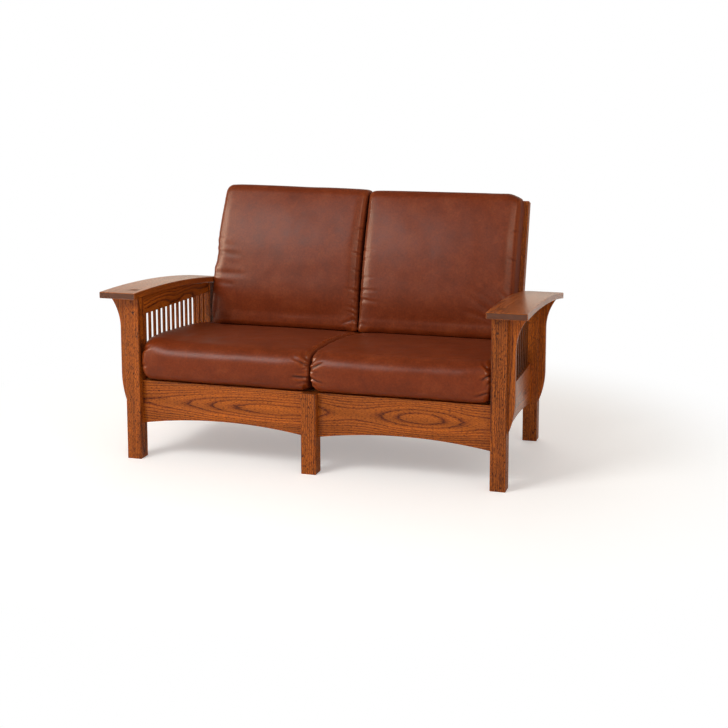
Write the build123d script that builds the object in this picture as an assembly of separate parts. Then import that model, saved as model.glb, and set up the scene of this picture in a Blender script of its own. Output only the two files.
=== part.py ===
from build123d import *
import os
from math import cos, radians, sin, sqrt, tan

os.makedirs("parts", exist_ok=True)

QUARTER_TURN = 90.0

# Millimetres: X across the settle, Y from front to back, Z up.
# The pieces are drawn from the front faces of the front legs, at Y zero, and
# the right half is drawn first: what the left half repeats is its mirror image.

# Frame as a whole
frame_width = 1464.0
leg_spread = 673.0
arm_top_height = 650.0
seat_rail_height = 303.0
glue_gap = 0.15
cut_overrun = 6.0

# Legs
leg_side = 57.0
leg_edge_chamfer = 1.5
foot_chamfer = 1.2

# Arms, bowed on a long radius that has its crest at the front legs
arm_outer_overhang = 77.0
arm_inner_overhang = 11.0
arm_front_overhang = 48.0
arm_rear_overhang = 85.0
arm_thickness = 24.0
arm_bow_radius = 5200.0
arm_edge_chamfer = 2.0
arm_tenon_side = 34.0
stub_tenon_height = 13.0

# Corbels: a hollow curve under the arm, a straight neck and a round tail
corbel_thickness = 20.0
corbel_length = 424.0
corbel_top_reach = 69.0
corbel_neck_reach = 26.0
corbel_hollow_height = 122.0
corbel_tail_height = 130.0

# Boards between the legs
board_thickness = 22.0
board_setback = 28.0
apron_depth = 166.0
apron_rise = 27.0
rear_apron_drop = 55.0
side_rail_lift = 15.0
side_rail_depth = 163.0
side_rail_rise = 26.0
top_rail_front_drop = 98.0
top_rail_rear_drop = 110.0
tenon_thickness = 10.0
tenon_length = 25.0
tenon_shoulder = 14.0
mitre_gap = 0.5

# Upright slats in the sides
side_slat_count = 14
side_slat_width = 13.0
side_slat_thickness = 7.5
side_slat_housing = 10.0

# Screws in the ends of the side top rails, under round plugs
plug_radius = 4.8
plug_depth = 7.0
plug_rise = 16.0
screw_outset = 4.0
screw_radius = 2.2
screw_head_radius = 4.2
screw_head_height = 3.0
screw_length = 75.0

# Seat deck, which falls towards the back
deck_slope_degrees = 4.5
deck_reveal = 0.5
bearer_width = 32.0
bearer_depth = 45.0
bearer_tenon_length = 9.0
seat_slat_count = 7
seat_slat_width = 66.0
seat_slat_thickness = 18.0
seat_slat_end_gap = 3.0
corner_block_leg = 60.0
corner_block_height = 30.0
corner_block_drop = 5.0

# Back frame, which leans from its foot behind the rear apron
back_lean_degrees = 17.0
back_plane_place = 725.2
back_side_room = 30.0
back_foot_reach = 98.0
back_stile_width = 45.0
back_stile_depth = 45.0
back_stile_reach = 668.0
back_rail_height = 75.0
back_rail_thickness = 22.0
back_rail_inset = 8.0
back_top_rail_drop = 12.0
back_bottom_rail_drop = 30.0
back_slat_count = 6
back_slat_width = 50.0
back_slat_thickness = 12.0
back_slat_housing = 12.0

# Bolts through the rear apron into the feet of the back frame
bolt_radius = 4.0
bolt_hole_clearance = 0.5
bolt_length = 46.0
bolt_head_flats = 13.0
bolt_head_height = 5.5
washer_radius = 8.5
washer_thickness = 1.6
bolt_drops = (82.0, 58.0)

# Seat cushions, in the plane of the deck: highest before the middle, lowest at the back
cushion_gap = 0.3
bend_share = 0.29
end_fall_shares = ((0, 1), (0.3, 0.45), (1, 0))
quarter_swell_share = 0.75
seat_cushion_side_gap = 3.0
seat_cushion_middle_gap = 1.0
seat_cushion_overhang = 4.0
seat_cushion_front_height = 154.0
seat_cushion_crown_height = 166.0
seat_cushion_crown_share = 0.4
seat_cushion_rear_height = 142.0
seat_cushion_front_round = 66.0
seat_cushion_foot_round = 44.0
seat_cushion_rear_round = 20.0
seat_cushion_end_fall = 7.0
seat_cushion_end_band = 46.0
seat_cushion_swell = 3.0
seat_cushion_draw = 5.0
seat_cushion_side_draw = 4.0

# Back cushions, in the plane of the back frame
back_cushion_offset = 8.0
back_cushion_middle_gap = 1.0
back_cushion_side_room = 27.0
back_cushion_thickness = 112.0
back_cushion_crown = 26.0
back_cushion_top_reach = 697.0
back_cushion_top_slope_degrees = 12.0
back_cushion_foot_slope_degrees = 4.5
back_cushion_sink = 2.1
back_cushion_top_round = 34.0
back_cushion_foot_round = 52.0
back_cushion_rear_round = 16.0
back_cushion_end_fall = 12.0
back_cushion_end_band = 44.0
back_cushion_swell = 8.0
back_cushion_draw = 5.0
back_cushion_side_draw = 4.0

# Places worked out from the sizes above
apron_foot_height = seat_rail_height - apron_depth
rear_apron_height = seat_rail_height - rear_apron_drop
side_rail_height = seat_rail_height + side_rail_lift
side_rail_foot_height = side_rail_height - side_rail_depth
top_rail_front_height = arm_top_height - top_rail_front_drop
top_rail_rear_height = arm_top_height - top_rail_rear_drop
plug_height = top_rail_front_height + plug_rise
rear_plug_height = top_rail_rear_height + plug_rise
deck_front_height = seat_rail_height + deck_reveal
back_foot_height = rear_apron_height - back_foot_reach
bolt_heights = [rear_apron_height - drop for drop in bolt_drops]
half_width = frame_width / 2
arm_back = leg_spread + leg_side + arm_rear_overhang
leg_inner = half_width - leg_side
arm_inner = leg_inner - arm_inner_overhang
arm_outer = half_width + arm_outer_overhang
rail_inner = half_width - board_setback - board_thickness
rail_middle = rail_inner + board_thickness / 2
half_leg = leg_side / 2
middle_depth = (leg_spread + leg_side) / 2
apron_back = board_setback + board_thickness
rear_apron_front = leg_spread + leg_side - apron_back
rear_apron_back = rear_apron_front + board_thickness
bearer_inner = rail_inner - bearer_width
deck_slope = radians(deck_slope_degrees)
back_lean = radians(back_lean_degrees)
stile_outer = leg_inner - back_side_room
back_cushion_half_width = leg_inner - back_cushion_side_room
stile_inner = stile_outer - back_stile_width
back_top_rail_top = back_stile_reach - back_top_rail_drop
back_bottom_rail_top = back_rail_height - back_bottom_rail_drop
rear_reach = back_plane_place + back_stile_reach * sin(back_lean) + back_stile_depth * cos(back_lean)
mid_depth = (rear_reach - arm_front_overhang) / 2
deck_turn = back_lean - deck_slope
deck_length = (back_plane_place - leg_side) + (deck_front_height - seat_rail_height) * tan(back_lean)
deck_length = deck_length * cos(back_lean) / cos(deck_turn)
deck_foot_reach = (deck_front_height - seat_rail_height - deck_length * sin(deck_slope)) / cos(back_lean)
back_cushion_foot_reach = deck_foot_reach + (seat_cushion_rear_height - back_cushion_sink) / cos(deck_turn)
deck_place = Pos(0, leg_side, deck_front_height) * Rot(-deck_slope_degrees, 0, 0)
back_place = Pos(0, back_plane_place, seat_rail_height) * Rot(-back_lean_degrees, 0, 0)


def block(x_low, x_high, y_low, y_high, z_low, z_high):
    """Box between two corners."""
    sides = (x_high - x_low, y_high - y_low, z_high - z_low)
    return Pos(x_low, y_low, z_low) * Box(*sides, align=(Align.MIN, Align.MIN, Align.MIN))


def pocket(x_low, x_high, y_low, y_high, z_low, z_high):
    """Mortise for a block, with the glue gap all round."""
    low = (x_low - glue_gap, y_low - glue_gap, z_low - glue_gap)
    high = (x_high + glue_gap, y_high + glue_gap, z_high + glue_gap)
    return block(low[0], high[0], low[1], high[1], low[2], high[2])


def board_across(outline, y_front):
    """Board with its outline in X and Z, from its front face to the back."""
    face = Pos(0, y_front + board_thickness, 0) * (Plane.XZ * make_face(outline))
    return extrude(face, amount=board_thickness)


def panel_along(outline, x_low, thickness):
    """Panel with its outline in Y and Z, from its inner face outwards."""
    face = Pos(x_low, 0, 0) * (Plane.YZ * make_face(outline))
    return extrude(face, amount=thickness)


def upright(outline, z_low, z_high):
    """Upright prism on an outline in X and Y."""
    face = Pos(0, 0, z_low) * make_face(Polyline(*outline, close=True))
    return extrude(face, amount=z_high - z_low)


def pin_along_y(x, y_start, z, radius, length):
    """Round pin that runs back from its start."""
    pin = Cylinder(radius, length, align=(Align.CENTER, Align.CENTER, Align.MIN))
    return Pos(x, y_start, z) * (Rot(-QUARTER_TURN, 0, 0) * pin)


def flip_side(shape):
    """Mirror image in the middle plane of the settle."""
    return mirror(shape, about=Plane.YZ)


def flip_depth(shape):
    """Mirror image in the plane half way between the front and rear legs."""
    return mirror(shape, about=Plane.XZ.offset(-middle_depth))


def bow_height(drop, y):
    """Height of the arm's bow at a depth, a given drop below its top."""
    return arm_top_height - arm_bow_radius + sqrt((arm_bow_radius - drop) ** 2 - y ** 2)


def bow_arc(drop, y_start, y_end):
    """Arc along the arm's bow from one depth to another."""
    depths = (y_start, (y_start + y_end) / 2, y_end)
    return ThreePointArc(*[(y, bow_height(drop, y)) for y in depths])


def above_bow(drop, x_low, x_high):
    """Everything over a line that follows the arm's bow, to trim what meets it."""
    y_low = -arm_front_overhang - cut_overrun
    y_high = arm_back + cut_overrun
    lid = arm_top_height + cut_overrun
    sides = Polyline((y_high, bow_height(drop, y_high)), (y_high, lid), (y_low, lid),
                     (y_low, bow_height(drop, y_low)))
    return panel_along([bow_arc(drop, y_low, y_high), sides], x_low, x_high - x_low)


def eased_post(x_low, x_high, y_low, y_high, height):
    """Square post with eased corners and an eased foot."""
    post = block(x_low, x_high, y_low, y_high, 0, height)
    post = chamfer(post.edges().filter_by(Axis.Z), leg_edge_chamfer)
    return chamfer(post.faces().sort_by(Axis.Z)[0].edges(), foot_chamfer)


def arm_tenon(y_middle, top_drop, gap):
    """Square tenon on a corner leg, up to a given drop below the arm's top."""
    middle = half_width - half_leg
    reach = arm_tenon_side / 2 + gap
    low = bow_height(arm_thickness, y_middle + half_leg) - cut_overrun
    post = block(middle - reach, middle + reach, y_middle - reach, y_middle + reach,
                 low, arm_top_height + cut_overrun)
    return post - above_bow(top_drop, middle - leg_side, middle + leg_side)


def apron_tenon(top_height):
    """Mitred tenon on the outer end of a front apron board."""
    y_low = board_setback + (board_thickness - tenon_thickness) / 2
    y_high = y_low + tenon_thickness
    mitre = half_width - mitre_gap
    outline = [(leg_inner, y_low), (leg_inner, y_high), (mitre - y_high, y_high), (mitre - y_low, y_low)]
    return upright(outline, apron_foot_height + tenon_shoulder, top_height - tenon_shoulder)


def apron_pocket(top_height):
    """Mortise in a corner leg for the mitred tenon of an apron board."""
    y_low = board_setback + (board_thickness - tenon_thickness) / 2
    return pocket(leg_inner, half_width - y_low, y_low, y_low + tenon_thickness,
                  apron_foot_height + tenon_shoulder, top_height - tenon_shoulder)


def side_rail_tenon():
    """Mitred tenon on the front end of a side bottom rail."""
    x_low = rail_middle - tenon_thickness / 2
    x_high = x_low + tenon_thickness
    mitre = half_width + mitre_gap
    outline = [(x_low, leg_side), (x_high, leg_side), (x_high, mitre - x_high), (x_low, mitre - x_low)]
    return upright(outline, side_rail_foot_height + tenon_shoulder, side_rail_height - tenon_shoulder)


def side_rail_pocket():
    """Mortise in a front leg for the side bottom rail."""
    x_low = rail_middle - tenon_thickness / 2
    x_high = x_low + tenon_thickness
    return pocket(x_low, x_high, half_width - x_high, leg_side,
                  side_rail_foot_height + tenon_shoulder, side_rail_height - tenon_shoulder)


def rail_screw(plug_z):
    """Screw from a front leg into the end of the side top rail."""
    x = rail_middle + screw_outset
    head = pin_along_y(x, plug_depth, plug_z, screw_head_radius, screw_head_height)
    return head + pin_along_y(x, plug_depth, plug_z, screw_radius, screw_length)


def rail_plug(plug_z):
    """Round wooden plug over the head of that screw."""
    return pin_along_y(rail_middle + screw_outset, 0, plug_z, plug_radius, plug_depth)


def corner_leg(apron_top, tenon_drop, y_middle, plug_z):
    """Corner leg of the right half, drawn at the front, with its tenon into the arm."""
    leg = eased_post(leg_inner, half_width, 0, leg_side, arm_top_height)
    leg = leg - apron_pocket(apron_top) - side_rail_pocket()
    leg = leg - rail_plug(plug_z) - rail_screw(plug_z)
    if y_middle > middle_depth:
        leg = flip_depth(leg)
    leg = leg - above_bow(arm_thickness, leg_inner - cut_overrun, half_width + cut_overrun)
    return leg + arm_tenon(y_middle, tenon_drop, 0)


def arm():
    """Right arm: a bowed board with a through mortise and a blind one."""
    y_low = -arm_front_overhang
    y_high = arm_back
    ends = [Line((y_low, bow_height(0, y_low)), (y_low, bow_height(arm_thickness, y_low))),
            Line((y_high, bow_height(0, y_high)), (y_high, bow_height(arm_thickness, y_high)))]
    outline = [bow_arc(0, y_low, y_high), bow_arc(arm_thickness, y_low, y_high)] + ends
    board = panel_along(outline, arm_inner, arm_outer - arm_inner)
    board = chamfer(board.edges(), arm_edge_chamfer)
    board = board - arm_tenon(half_leg, -cut_overrun, glue_gap)
    return board - arm_tenon(leg_spread + half_leg, arm_thickness - stub_tenon_height - glue_gap, glue_gap)


def corbel():
    """Right front corbel, against the outside of the leg and under the arm."""
    top = bow_height(arm_thickness, 0)
    neck_top = top - corbel_hollow_height
    tip = top - corbel_length
    tail_top = tip + corbel_tail_height
    flare = corbel_top_reach - corbel_neck_reach
    hollow_radius = (corbel_hollow_height ** 2 + flare ** 2) / (2 * flare)
    tail_radius = (corbel_tail_height ** 2 + corbel_neck_reach ** 2) / (2 * corbel_neck_reach)

    def hollow(height):
        reach = corbel_neck_reach + hollow_radius - sqrt(hollow_radius ** 2 - height ** 2)
        return (half_width + reach, neck_top + height)

    def tail(fall):
        reach = corbel_neck_reach - tail_radius + sqrt(tail_radius ** 2 - fall ** 2)
        return (half_width + reach, tail_top - fall)

    outline = [Line((half_width, tip), (half_width, top)),
               Line((half_width, top), hollow(corbel_hollow_height)),
               ThreePointArc(hollow(corbel_hollow_height), hollow(corbel_hollow_height / 2), hollow(0)),
               Line(hollow(0), tail(0)),
               ThreePointArc(tail(0), tail(corbel_tail_height / 2), (half_width, tip))]
    face = Plane.XZ * make_face(outline)
    piece = Pos(0, half_leg + corbel_thickness / 2, 0) * extrude(face, amount=corbel_thickness)
    return piece - above_bow(arm_thickness, half_width - cut_overrun, arm_outer)


def rear_corbel():
    """Right rear corbel: the same pattern, moved back and down with the bow."""
    fall = bow_height(arm_thickness, 0) - bow_height(arm_thickness, leg_spread)
    moved = Pos(0, leg_spread, -fall) * corbel()
    return moved - above_bow(arm_thickness, half_width - cut_overrun, arm_outer)


def centre_leg(height):
    """Leg in the middle of the front, with mortises for both aprons and the centre bearer."""
    leg = eased_post(-half_leg, half_leg, 0, leg_side, height)
    y_low = board_setback + (board_thickness - tenon_thickness) / 2
    for side in (-1, 1):
        ends = sorted((side * half_leg, side * (half_leg - tenon_length)))
        leg = leg - pocket(ends[0], ends[1], y_low, y_low + tenon_thickness,
                           apron_foot_height + tenon_shoulder, height - tenon_shoulder)
    return leg


def centre_apron_tenon(top_height):
    """Tenon on the inner end of an apron board."""
    y_low = board_setback + (board_thickness - tenon_thickness) / 2
    return block(half_leg - tenon_length, half_leg, y_low, y_low + tenon_thickness,
                 apron_foot_height + tenon_shoulder, top_height - tenon_shoulder)


def apron(top_height):
    """Right front apron board with an arched lower edge and a tenon at each end."""
    middle = (half_leg + leg_inner) / 2
    arch = ThreePointArc((half_leg, apron_foot_height), (middle, apron_foot_height + apron_rise),
                         (leg_inner, apron_foot_height))
    sides = Polyline((leg_inner, apron_foot_height), (leg_inner, top_height), (half_leg, top_height),
                     (half_leg, apron_foot_height))
    board = board_across([arch, sides], board_setback)
    return board + centre_apron_tenon(top_height) + apron_tenon(top_height)


def side_bottom_rail():
    """Right side bottom rail with an arched lower edge and a tenon at each end."""
    crest = (middle_depth, side_rail_foot_height + side_rail_rise)
    arch = ThreePointArc((leg_side, side_rail_foot_height), crest, (leg_spread, side_rail_foot_height))
    sides = Polyline((leg_spread, side_rail_foot_height), (leg_spread, side_rail_height),
                     (leg_side, side_rail_height), (leg_side, side_rail_foot_height))
    rail = panel_along([arch, sides], rail_inner, board_thickness)
    return rail + side_rail_tenon() + flip_depth(side_rail_tenon())


def top_rail_foot(y):
    """Height of the lower edge of the side top rail at a depth."""
    fall = (top_rail_front_height - top_rail_rear_height) / (leg_spread - leg_side)
    return top_rail_front_height - fall * (y - leg_side)


def side_top_rail():
    """Right side top rail: its upper edge follows the arm and it butts between the legs."""
    crest = bow_arc(arm_thickness, leg_side, leg_spread)
    sides = Polyline((leg_spread, bow_height(arm_thickness, leg_spread)), (leg_spread, top_rail_rear_height),
                     (leg_side, top_rail_front_height), (leg_side, bow_height(arm_thickness, leg_side)))
    rail = panel_along([crest, sides], rail_inner, board_thickness)
    return rail - rail_screw(plug_height) - flip_depth(rail_screw(rear_plug_height))


def side_slat_places():
    """Depth of the front edge of each upright slat, evenly spaced between the legs."""
    room = leg_spread - leg_side - side_slat_count * side_slat_width
    gap = room / (side_slat_count + 1)
    return [leg_side + gap + i * (gap + side_slat_width) for i in range(side_slat_count)]


def side_slat(y, gap):
    """One upright slat of the right side, or its housings when a gap is given."""
    low = side_rail_height - side_slat_housing - gap
    high = top_rail_foot(y + side_slat_width / 2) + side_slat_housing + gap
    half_thickness = side_slat_thickness / 2 + gap
    return block(rail_middle - half_thickness, rail_middle + half_thickness,
                 y - gap, y + side_slat_width + gap, low, high)


def joined(pieces):
    """Several separate solids as one shape."""
    return Part() + pieces


def side_bearer():
    """Right side bearer, along the inside of the side bottom rail and under the seat slats."""
    top = deck_front_height - seat_slat_thickness / cos(deck_slope)
    fall = (leg_spread - leg_side) * tan(deck_slope)
    outline = Polyline((leg_side, top), (leg_spread, top - fall), (leg_spread, top - fall - bearer_depth),
                       (leg_side, top - bearer_depth), close=True)
    return panel_along(outline, bearer_inner, bearer_width)


def bearer_tenon(gap):
    """Stub tenon on the front end of the centre bearer."""
    reach = tenon_thickness / 2 + gap
    top = deck_front_height - seat_slat_thickness - tenon_shoulder
    return block(-reach, reach, leg_side - bearer_tenon_length - gap, leg_side + gap,
                 top - tenon_length - gap, top + gap)


def rear_bearer_tenon(gap):
    """Stub tenon on the rear end of the centre bearer, lower by the fall of the deck."""
    fall = (leg_spread - leg_side) * tan(deck_slope)
    return Pos(0, 0, -fall) * flip_depth(bearer_tenon(gap))


def centre_bearer():
    """Bearer between the two centre legs, under the inner ends of the seat slats."""
    beam = Pos(-bearer_inner - bearer_width / 2, 0, 0) * side_bearer()
    return beam + bearer_tenon(0) + rear_bearer_tenon(0)


def seat_slat(index):
    """One seat slat of the right bay."""
    start = seat_slat_end_gap
    length = (leg_spread - leg_side) / cos(deck_slope) - 2 * seat_slat_end_gap
    gap = (length - seat_slat_count * seat_slat_width) / (seat_slat_count - 1)
    y = start + index * (seat_slat_width + gap)
    return deck_place * block(seat_slat_end_gap, rail_inner - seat_slat_end_gap,
                              y, y + seat_slat_width, -seat_slat_thickness, 0)


def corner_block(y_board, reach):
    """Glued block between an apron and the side bearer; its reach is negative at the rear."""
    deepest = max(y_board, y_board + reach)
    top = deck_front_height - (seat_slat_thickness + corner_block_drop
                               + (deepest - leg_side) * tan(deck_slope))
    outline = [(bearer_inner, y_board), (bearer_inner - corner_block_leg, y_board),
               (bearer_inner, y_board + reach)]
    return upright(outline, top - corner_block_height, top)


def bolt_places():
    """Places of the bolts across and up, for the right foot of the back frame."""
    return [((stile_inner + stile_outer) / 2, z) for z in bolt_heights]


def bolt_shank(x, z, gap):
    """Shank of a bolt, or its hole when a gap is given."""
    return pin_along_y(x, rear_apron_front - gap, z, bolt_radius + gap, bolt_length + gap)


def bolt(x, z):
    """Bolt with a six-sided head, its shank through the rear apron."""
    head_outline = RegularPolygon(bolt_head_flats / 2, 6, major_radius=False)
    head = extrude(head_outline, amount=bolt_head_height)
    start = rear_apron_front - washer_thickness - bolt_head_height
    placed = Pos(x, start, z) * (Rot(-QUARTER_TURN, 0, 0) * head)
    return placed + pin_along_y(x, start, z, bolt_radius, bolt_head_height + washer_thickness + bolt_length)


def washer(x, z):
    """Washer under the head of a bolt."""
    ring = pin_along_y(x, rear_apron_front - washer_thickness, z, washer_radius, washer_thickness)
    return ring - bolt_shank(x, z, bolt_hole_clearance + washer_thickness)


def rear_apron():
    """Right rear apron board, lower than the front one, with its bolt holes."""
    board = flip_depth(apron(rear_apron_height))
    for x, z in bolt_places():
        hole_radius = bolt_radius + bolt_hole_clearance
        board = board - pin_along_y(x, rear_apron_front - cut_overrun, z, hole_radius,
                                    board_thickness + 2 * cut_overrun)
    return board


def back_rail(z_low):
    """Rail across the back frame, drawn upright, with a tenon at each end."""
    y_low = back_rail_inset
    z_high = z_low + back_rail_height
    rail = block(-stile_inner, stile_inner, y_low, y_low + back_rail_thickness, z_low, z_high)
    return rail + back_rail_tenon(z_low, 0) + flip_side(back_rail_tenon(z_low, 0))


def back_rail_tenon(z_low, gap):
    """Tenon of a back rail into the right stile, or its mortise when a gap is given."""
    y_low = back_rail_inset + (back_rail_thickness - tenon_thickness) / 2
    return block(stile_inner - gap, stile_inner + tenon_length + gap,
                 y_low - gap, y_low + tenon_thickness + gap,
                 z_low + tenon_shoulder - gap, z_low + back_rail_height - tenon_shoulder + gap)


def back_rail_feet():
    """Lower edges of the bottom rail and the top rail, along the lean."""
    return (-back_bottom_rail_drop, back_top_rail_top - back_rail_height)


def back_stile():
    """Right stile of the back frame, with its foot cut upright against the rear apron."""
    foot = (back_foot_height - seat_rail_height) / cos(back_lean) - back_stile_depth
    stile = block(stile_inner, stile_outer, 0, back_stile_depth, foot, back_stile_reach)
    stile = chamfer(stile.edges().filter_by(Axis.Z), leg_edge_chamfer)
    for z_low in back_rail_feet():
        stile = stile - back_rail_tenon(z_low, glue_gap)
    stile = back_place * stile
    x_low = stile_inner - cut_overrun
    x_high = stile_outer + cut_overrun
    stile = stile - block(x_low, x_high, 0, rear_apron_back, 0, seat_rail_height)
    stile = stile - block(x_low, x_high, 0, rear_reach, 0, back_foot_height)
    for x, z in bolt_places():
        stile = stile - bolt_shank(x, z, 0)
    return stile


def back_upright(x_middle, width, thickness, housing, gap):
    """Upright between the two back rails, or its housings when a gap is given."""
    y_middle = back_rail_inset + back_rail_thickness / 2
    reach = width / 2 + gap
    depth = thickness / 2 + gap
    low = back_bottom_rail_top - housing - gap
    high = back_top_rail_top - back_rail_height + housing + gap
    return block(x_middle - reach, x_middle + reach, y_middle - depth, y_middle + depth, low, high)


def centre_stile(gap):
    """Middle upright of the back frame, with a tenon at each end."""
    tenon = back_upright(0, back_stile_width - 2 * tenon_shoulder, tenon_thickness, tenon_length, gap)
    if gap > 0:
        return tenon
    return back_upright(0, back_stile_width, back_rail_thickness, 0, 0) + tenon


def back_slat_places():
    """Middle of each upright slat in the right half of the back frame."""
    start = back_stile_width / 2
    room = stile_inner - start - back_slat_count * back_slat_width
    gap = room / (back_slat_count + 1)
    first = start + gap + back_slat_width / 2
    return [first + i * (gap + back_slat_width) for i in range(back_slat_count)]


def back_slat(x_middle, gap):
    """One upright slat of the back frame, or its housings when a gap is given."""
    return back_upright(x_middle, back_slat_width, back_slat_thickness, back_slat_housing, gap)


def housed_back_rail(z_low):
    """Back rail with housings for the centre stile and the slats, at its lean."""
    rail = back_rail(z_low) - centre_stile(glue_gap)
    for x in back_slat_places():
        rail = rail - back_slat(x, glue_gap) - back_slat(-x, glue_gap)
    return back_place * rail


def seat_profile(x, fall, swell, draw):
    """Section of a seat cushion in the deck's own plane, at a place across."""
    front = -(leg_side + seat_cushion_overhang) / cos(deck_slope) + draw
    front_top = seat_cushion_front_height - fall
    rear_top = seat_cushion_rear_height - fall
    foot = seat_cushion_foot_round
    nose = seat_cushion_front_round
    heel = seat_cushion_rear_round

    def rear(height):
        return deck_length - cushion_gap / cos(deck_turn) + height * tan(deck_turn)

    crown = (front + (deck_length - front) * seat_cushion_crown_share,
             seat_cushion_crown_height - fall + swell)
    under_rear = (rear(0) - heel, 0)
    under_front = (front + foot, 0)
    front_low = (front, foot)
    front_high = (front, front_top - nose)
    top_front = (front + nose, front_top)
    top_rear = (rear(rear_top) - heel, rear_top)
    rear_high = (rear(rear_top - heel), rear_top - heel)
    rear_low = (rear(heel), heel)
    outline = [
        Line(under_rear, under_front),
        ThreePointArc(under_front, (front + foot * bend_share, foot * bend_share), front_low),
        Line(front_low, front_high),
        ThreePointArc(front_high, (front + nose * bend_share, front_top - nose * bend_share), top_front),
        ThreePointArc(top_front, crown, top_rear),
        Line(top_rear, rear_high),
        Line(rear_high, rear_low),
        Line(rear_low, under_rear),
    ]
    return Pos(x, 0, 0) * (Plane.YZ * make_face(outline))


def crowned(profile, x_low, x_high, band, fall, swell, draw):
    """Loft of a cushion across its width: crowned, and falling away and drawn in at both ends."""
    middle = (x_low + x_high) / 2
    half = [profile(x_low + share * band, fall * fall_share, 0, draw * fall_share)
            for share, fall_share in end_fall_shares]
    half.append(profile((x_low + band + middle) / 2, 0, swell * quarter_swell_share, 0))
    turned = [Pos(2 * middle, 0, 0) * flip_side(section) for section in reversed(half)]
    return loft(half + [profile(middle, 0, swell, 0)] + turned, ruled=True)


def side_hollows(x_low, x_high, y_low, y_high, height, depth):
    """Wide shallow hollows that draw in the two sides of a cushion between its corners."""
    radius = ((y_high - y_low) ** 2 / 4 + depth ** 2) / (2 * depth)
    y_middle = (y_low + y_high) / 2
    hollow = Cylinder(radius, height)
    return [Pos(x, y_middle, 0) * hollow for x in (x_low + depth - radius, x_high - depth + radius)]


def seat_cushion():
    """Right seat cushion: rounded front, crowned top, rear face at the lean of the back."""
    x_low = seat_cushion_middle_gap
    x_high = leg_inner - seat_cushion_side_gap
    body = crowned(seat_profile, x_low, x_high, seat_cushion_end_band, seat_cushion_end_fall,
                   seat_cushion_swell, seat_cushion_draw)
    hollows = side_hollows(x_low, x_high, 0, deck_length, 2 * seat_cushion_crown_height + cut_overrun,
                           seat_cushion_side_draw)
    return Pos(0, 0, cushion_gap) * (deck_place * (body - hollows))


def back_profile(x, fall, swell, draw):
    """Section of a back cushion in the back frame's own plane, at a place across."""
    rear = -cushion_gap
    front = rear - back_cushion_thickness + fall
    foot_slope = tan(radians(back_cushion_foot_slope_degrees))
    top_slope = tan(radians(back_cushion_top_slope_degrees))
    heel = back_cushion_rear_round
    nose = back_cushion_top_round
    foot = back_cushion_foot_round
    top = back_cushion_top_reach - draw

    def foot_height(y):
        return back_cushion_foot_reach + (y - rear) * foot_slope

    def top_height(y):
        return top + (y - rear) * top_slope

    rear_low = (rear, foot_height(rear) + heel)
    under_rear = (rear - heel, foot_height(rear - heel))
    under_front = (front + foot, foot_height(front + foot))
    front_low = (front, foot_height(front) + foot)
    front_high = (front, top_height(front) - nose)
    top_front = (front + nose, top_height(front + nose))
    top_rear = (rear - heel, top_height(rear - heel))
    rear_high = (rear, top_height(rear) - heel)
    foot_bend = (front + foot * bend_share, foot_height(front) + foot * bend_share)
    crown = (front - back_cushion_crown + fall - swell, (front_low[1] + front_high[1]) / 2)
    nose_bend = (front + nose * bend_share, top_height(front) - nose * bend_share)
    outline = [
        Line(rear_low, under_rear),
        Line(under_rear, under_front),
        ThreePointArc(under_front, foot_bend, front_low),
        ThreePointArc(front_low, crown, front_high),
        ThreePointArc(front_high, nose_bend, top_front),
        Line(top_front, top_rear),
        Line(top_rear, rear_high),
        Line(rear_high, rear_low),
    ]
    return Pos(x, 0, 0) * (Plane.YZ * make_face(outline))


def back_cushion(x_low, x_high):
    """Back cushion that stands on the seat cushion and leans on the back frame."""
    body = crowned(back_profile, x_low, x_high, back_cushion_end_band, back_cushion_end_fall,
                   back_cushion_swell, back_cushion_draw)
    hollows = side_hollows(x_low, x_high, -back_cushion_top_reach, -back_cushion_foot_reach,
                           back_cushion_top_reach, back_cushion_side_draw)
    return back_place * (body - [Rot(-QUARTER_TURN, 0, 0) * hollow for hollow in hollows])


def save(name, shape):
    """Write one piece, with the frame's origin at the middle of the settle's footprint."""
    export_step(Pos(0, -mid_depth, 0) * shape, f"parts/{name}.step")


def save_pair(name, shape):
    """Write a piece of the right half and its mirror image."""
    save(f"{name}_right", shape)
    save(f"{name}_left", flip_side(shape))


# Legs, arms and corbels
save_pair("front_leg", corner_leg(seat_rail_height, 0, half_leg, plug_height))
save_pair("rear_leg", corner_leg(rear_apron_height, arm_thickness - stub_tenon_height,
                                 leg_spread + half_leg, rear_plug_height))
save("centre_front_leg", centre_leg(seat_rail_height) - bearer_tenon(glue_gap))
save("centre_rear_leg", flip_depth(centre_leg(rear_apron_height)) - rear_bearer_tenon(glue_gap))
save_pair("arm", arm())
save_pair("front_corbel", corbel())
save_pair("rear_corbel", rear_corbel())

# Boards between the legs
save_pair("front_apron", apron(seat_rail_height))
save_pair("rear_apron", rear_apron())
top_rail = side_top_rail()
bottom_rail = side_bottom_rail()
for place in side_slat_places():
    top_rail = top_rail - side_slat(place, glue_gap)
    bottom_rail = bottom_rail - side_slat(place, glue_gap)
save_pair("side_top_rail", top_rail)
save_pair("side_bottom_rail", bottom_rail)
save_pair("side_slats", joined([side_slat(place, 0) for place in side_slat_places()]))

# Screws and plugs at the ends of the side top rails
screws = [rail_screw(plug_height), flip_depth(rail_screw(rear_plug_height))]
plugs = [rail_plug(plug_height), flip_depth(rail_plug(rear_plug_height))]
save("rail_screws", joined(screws + [flip_side(screw) for screw in screws]))
save("rail_plugs", joined(plugs + [flip_side(plug) for plug in plugs]))

# Seat deck
save_pair("side_bearer", side_bearer())
save("centre_bearer", centre_bearer())
save_pair("front_corner_block", corner_block(apron_back, corner_block_leg))
save_pair("rear_corner_block", corner_block(rear_apron_front, -corner_block_leg))
for number in range(seat_slat_count):
    slat = seat_slat(number)
    save(f"seat_slat_right_{number + 1}", slat)
    save(f"seat_slat_left_{number + 1}", flip_side(slat))

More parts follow.
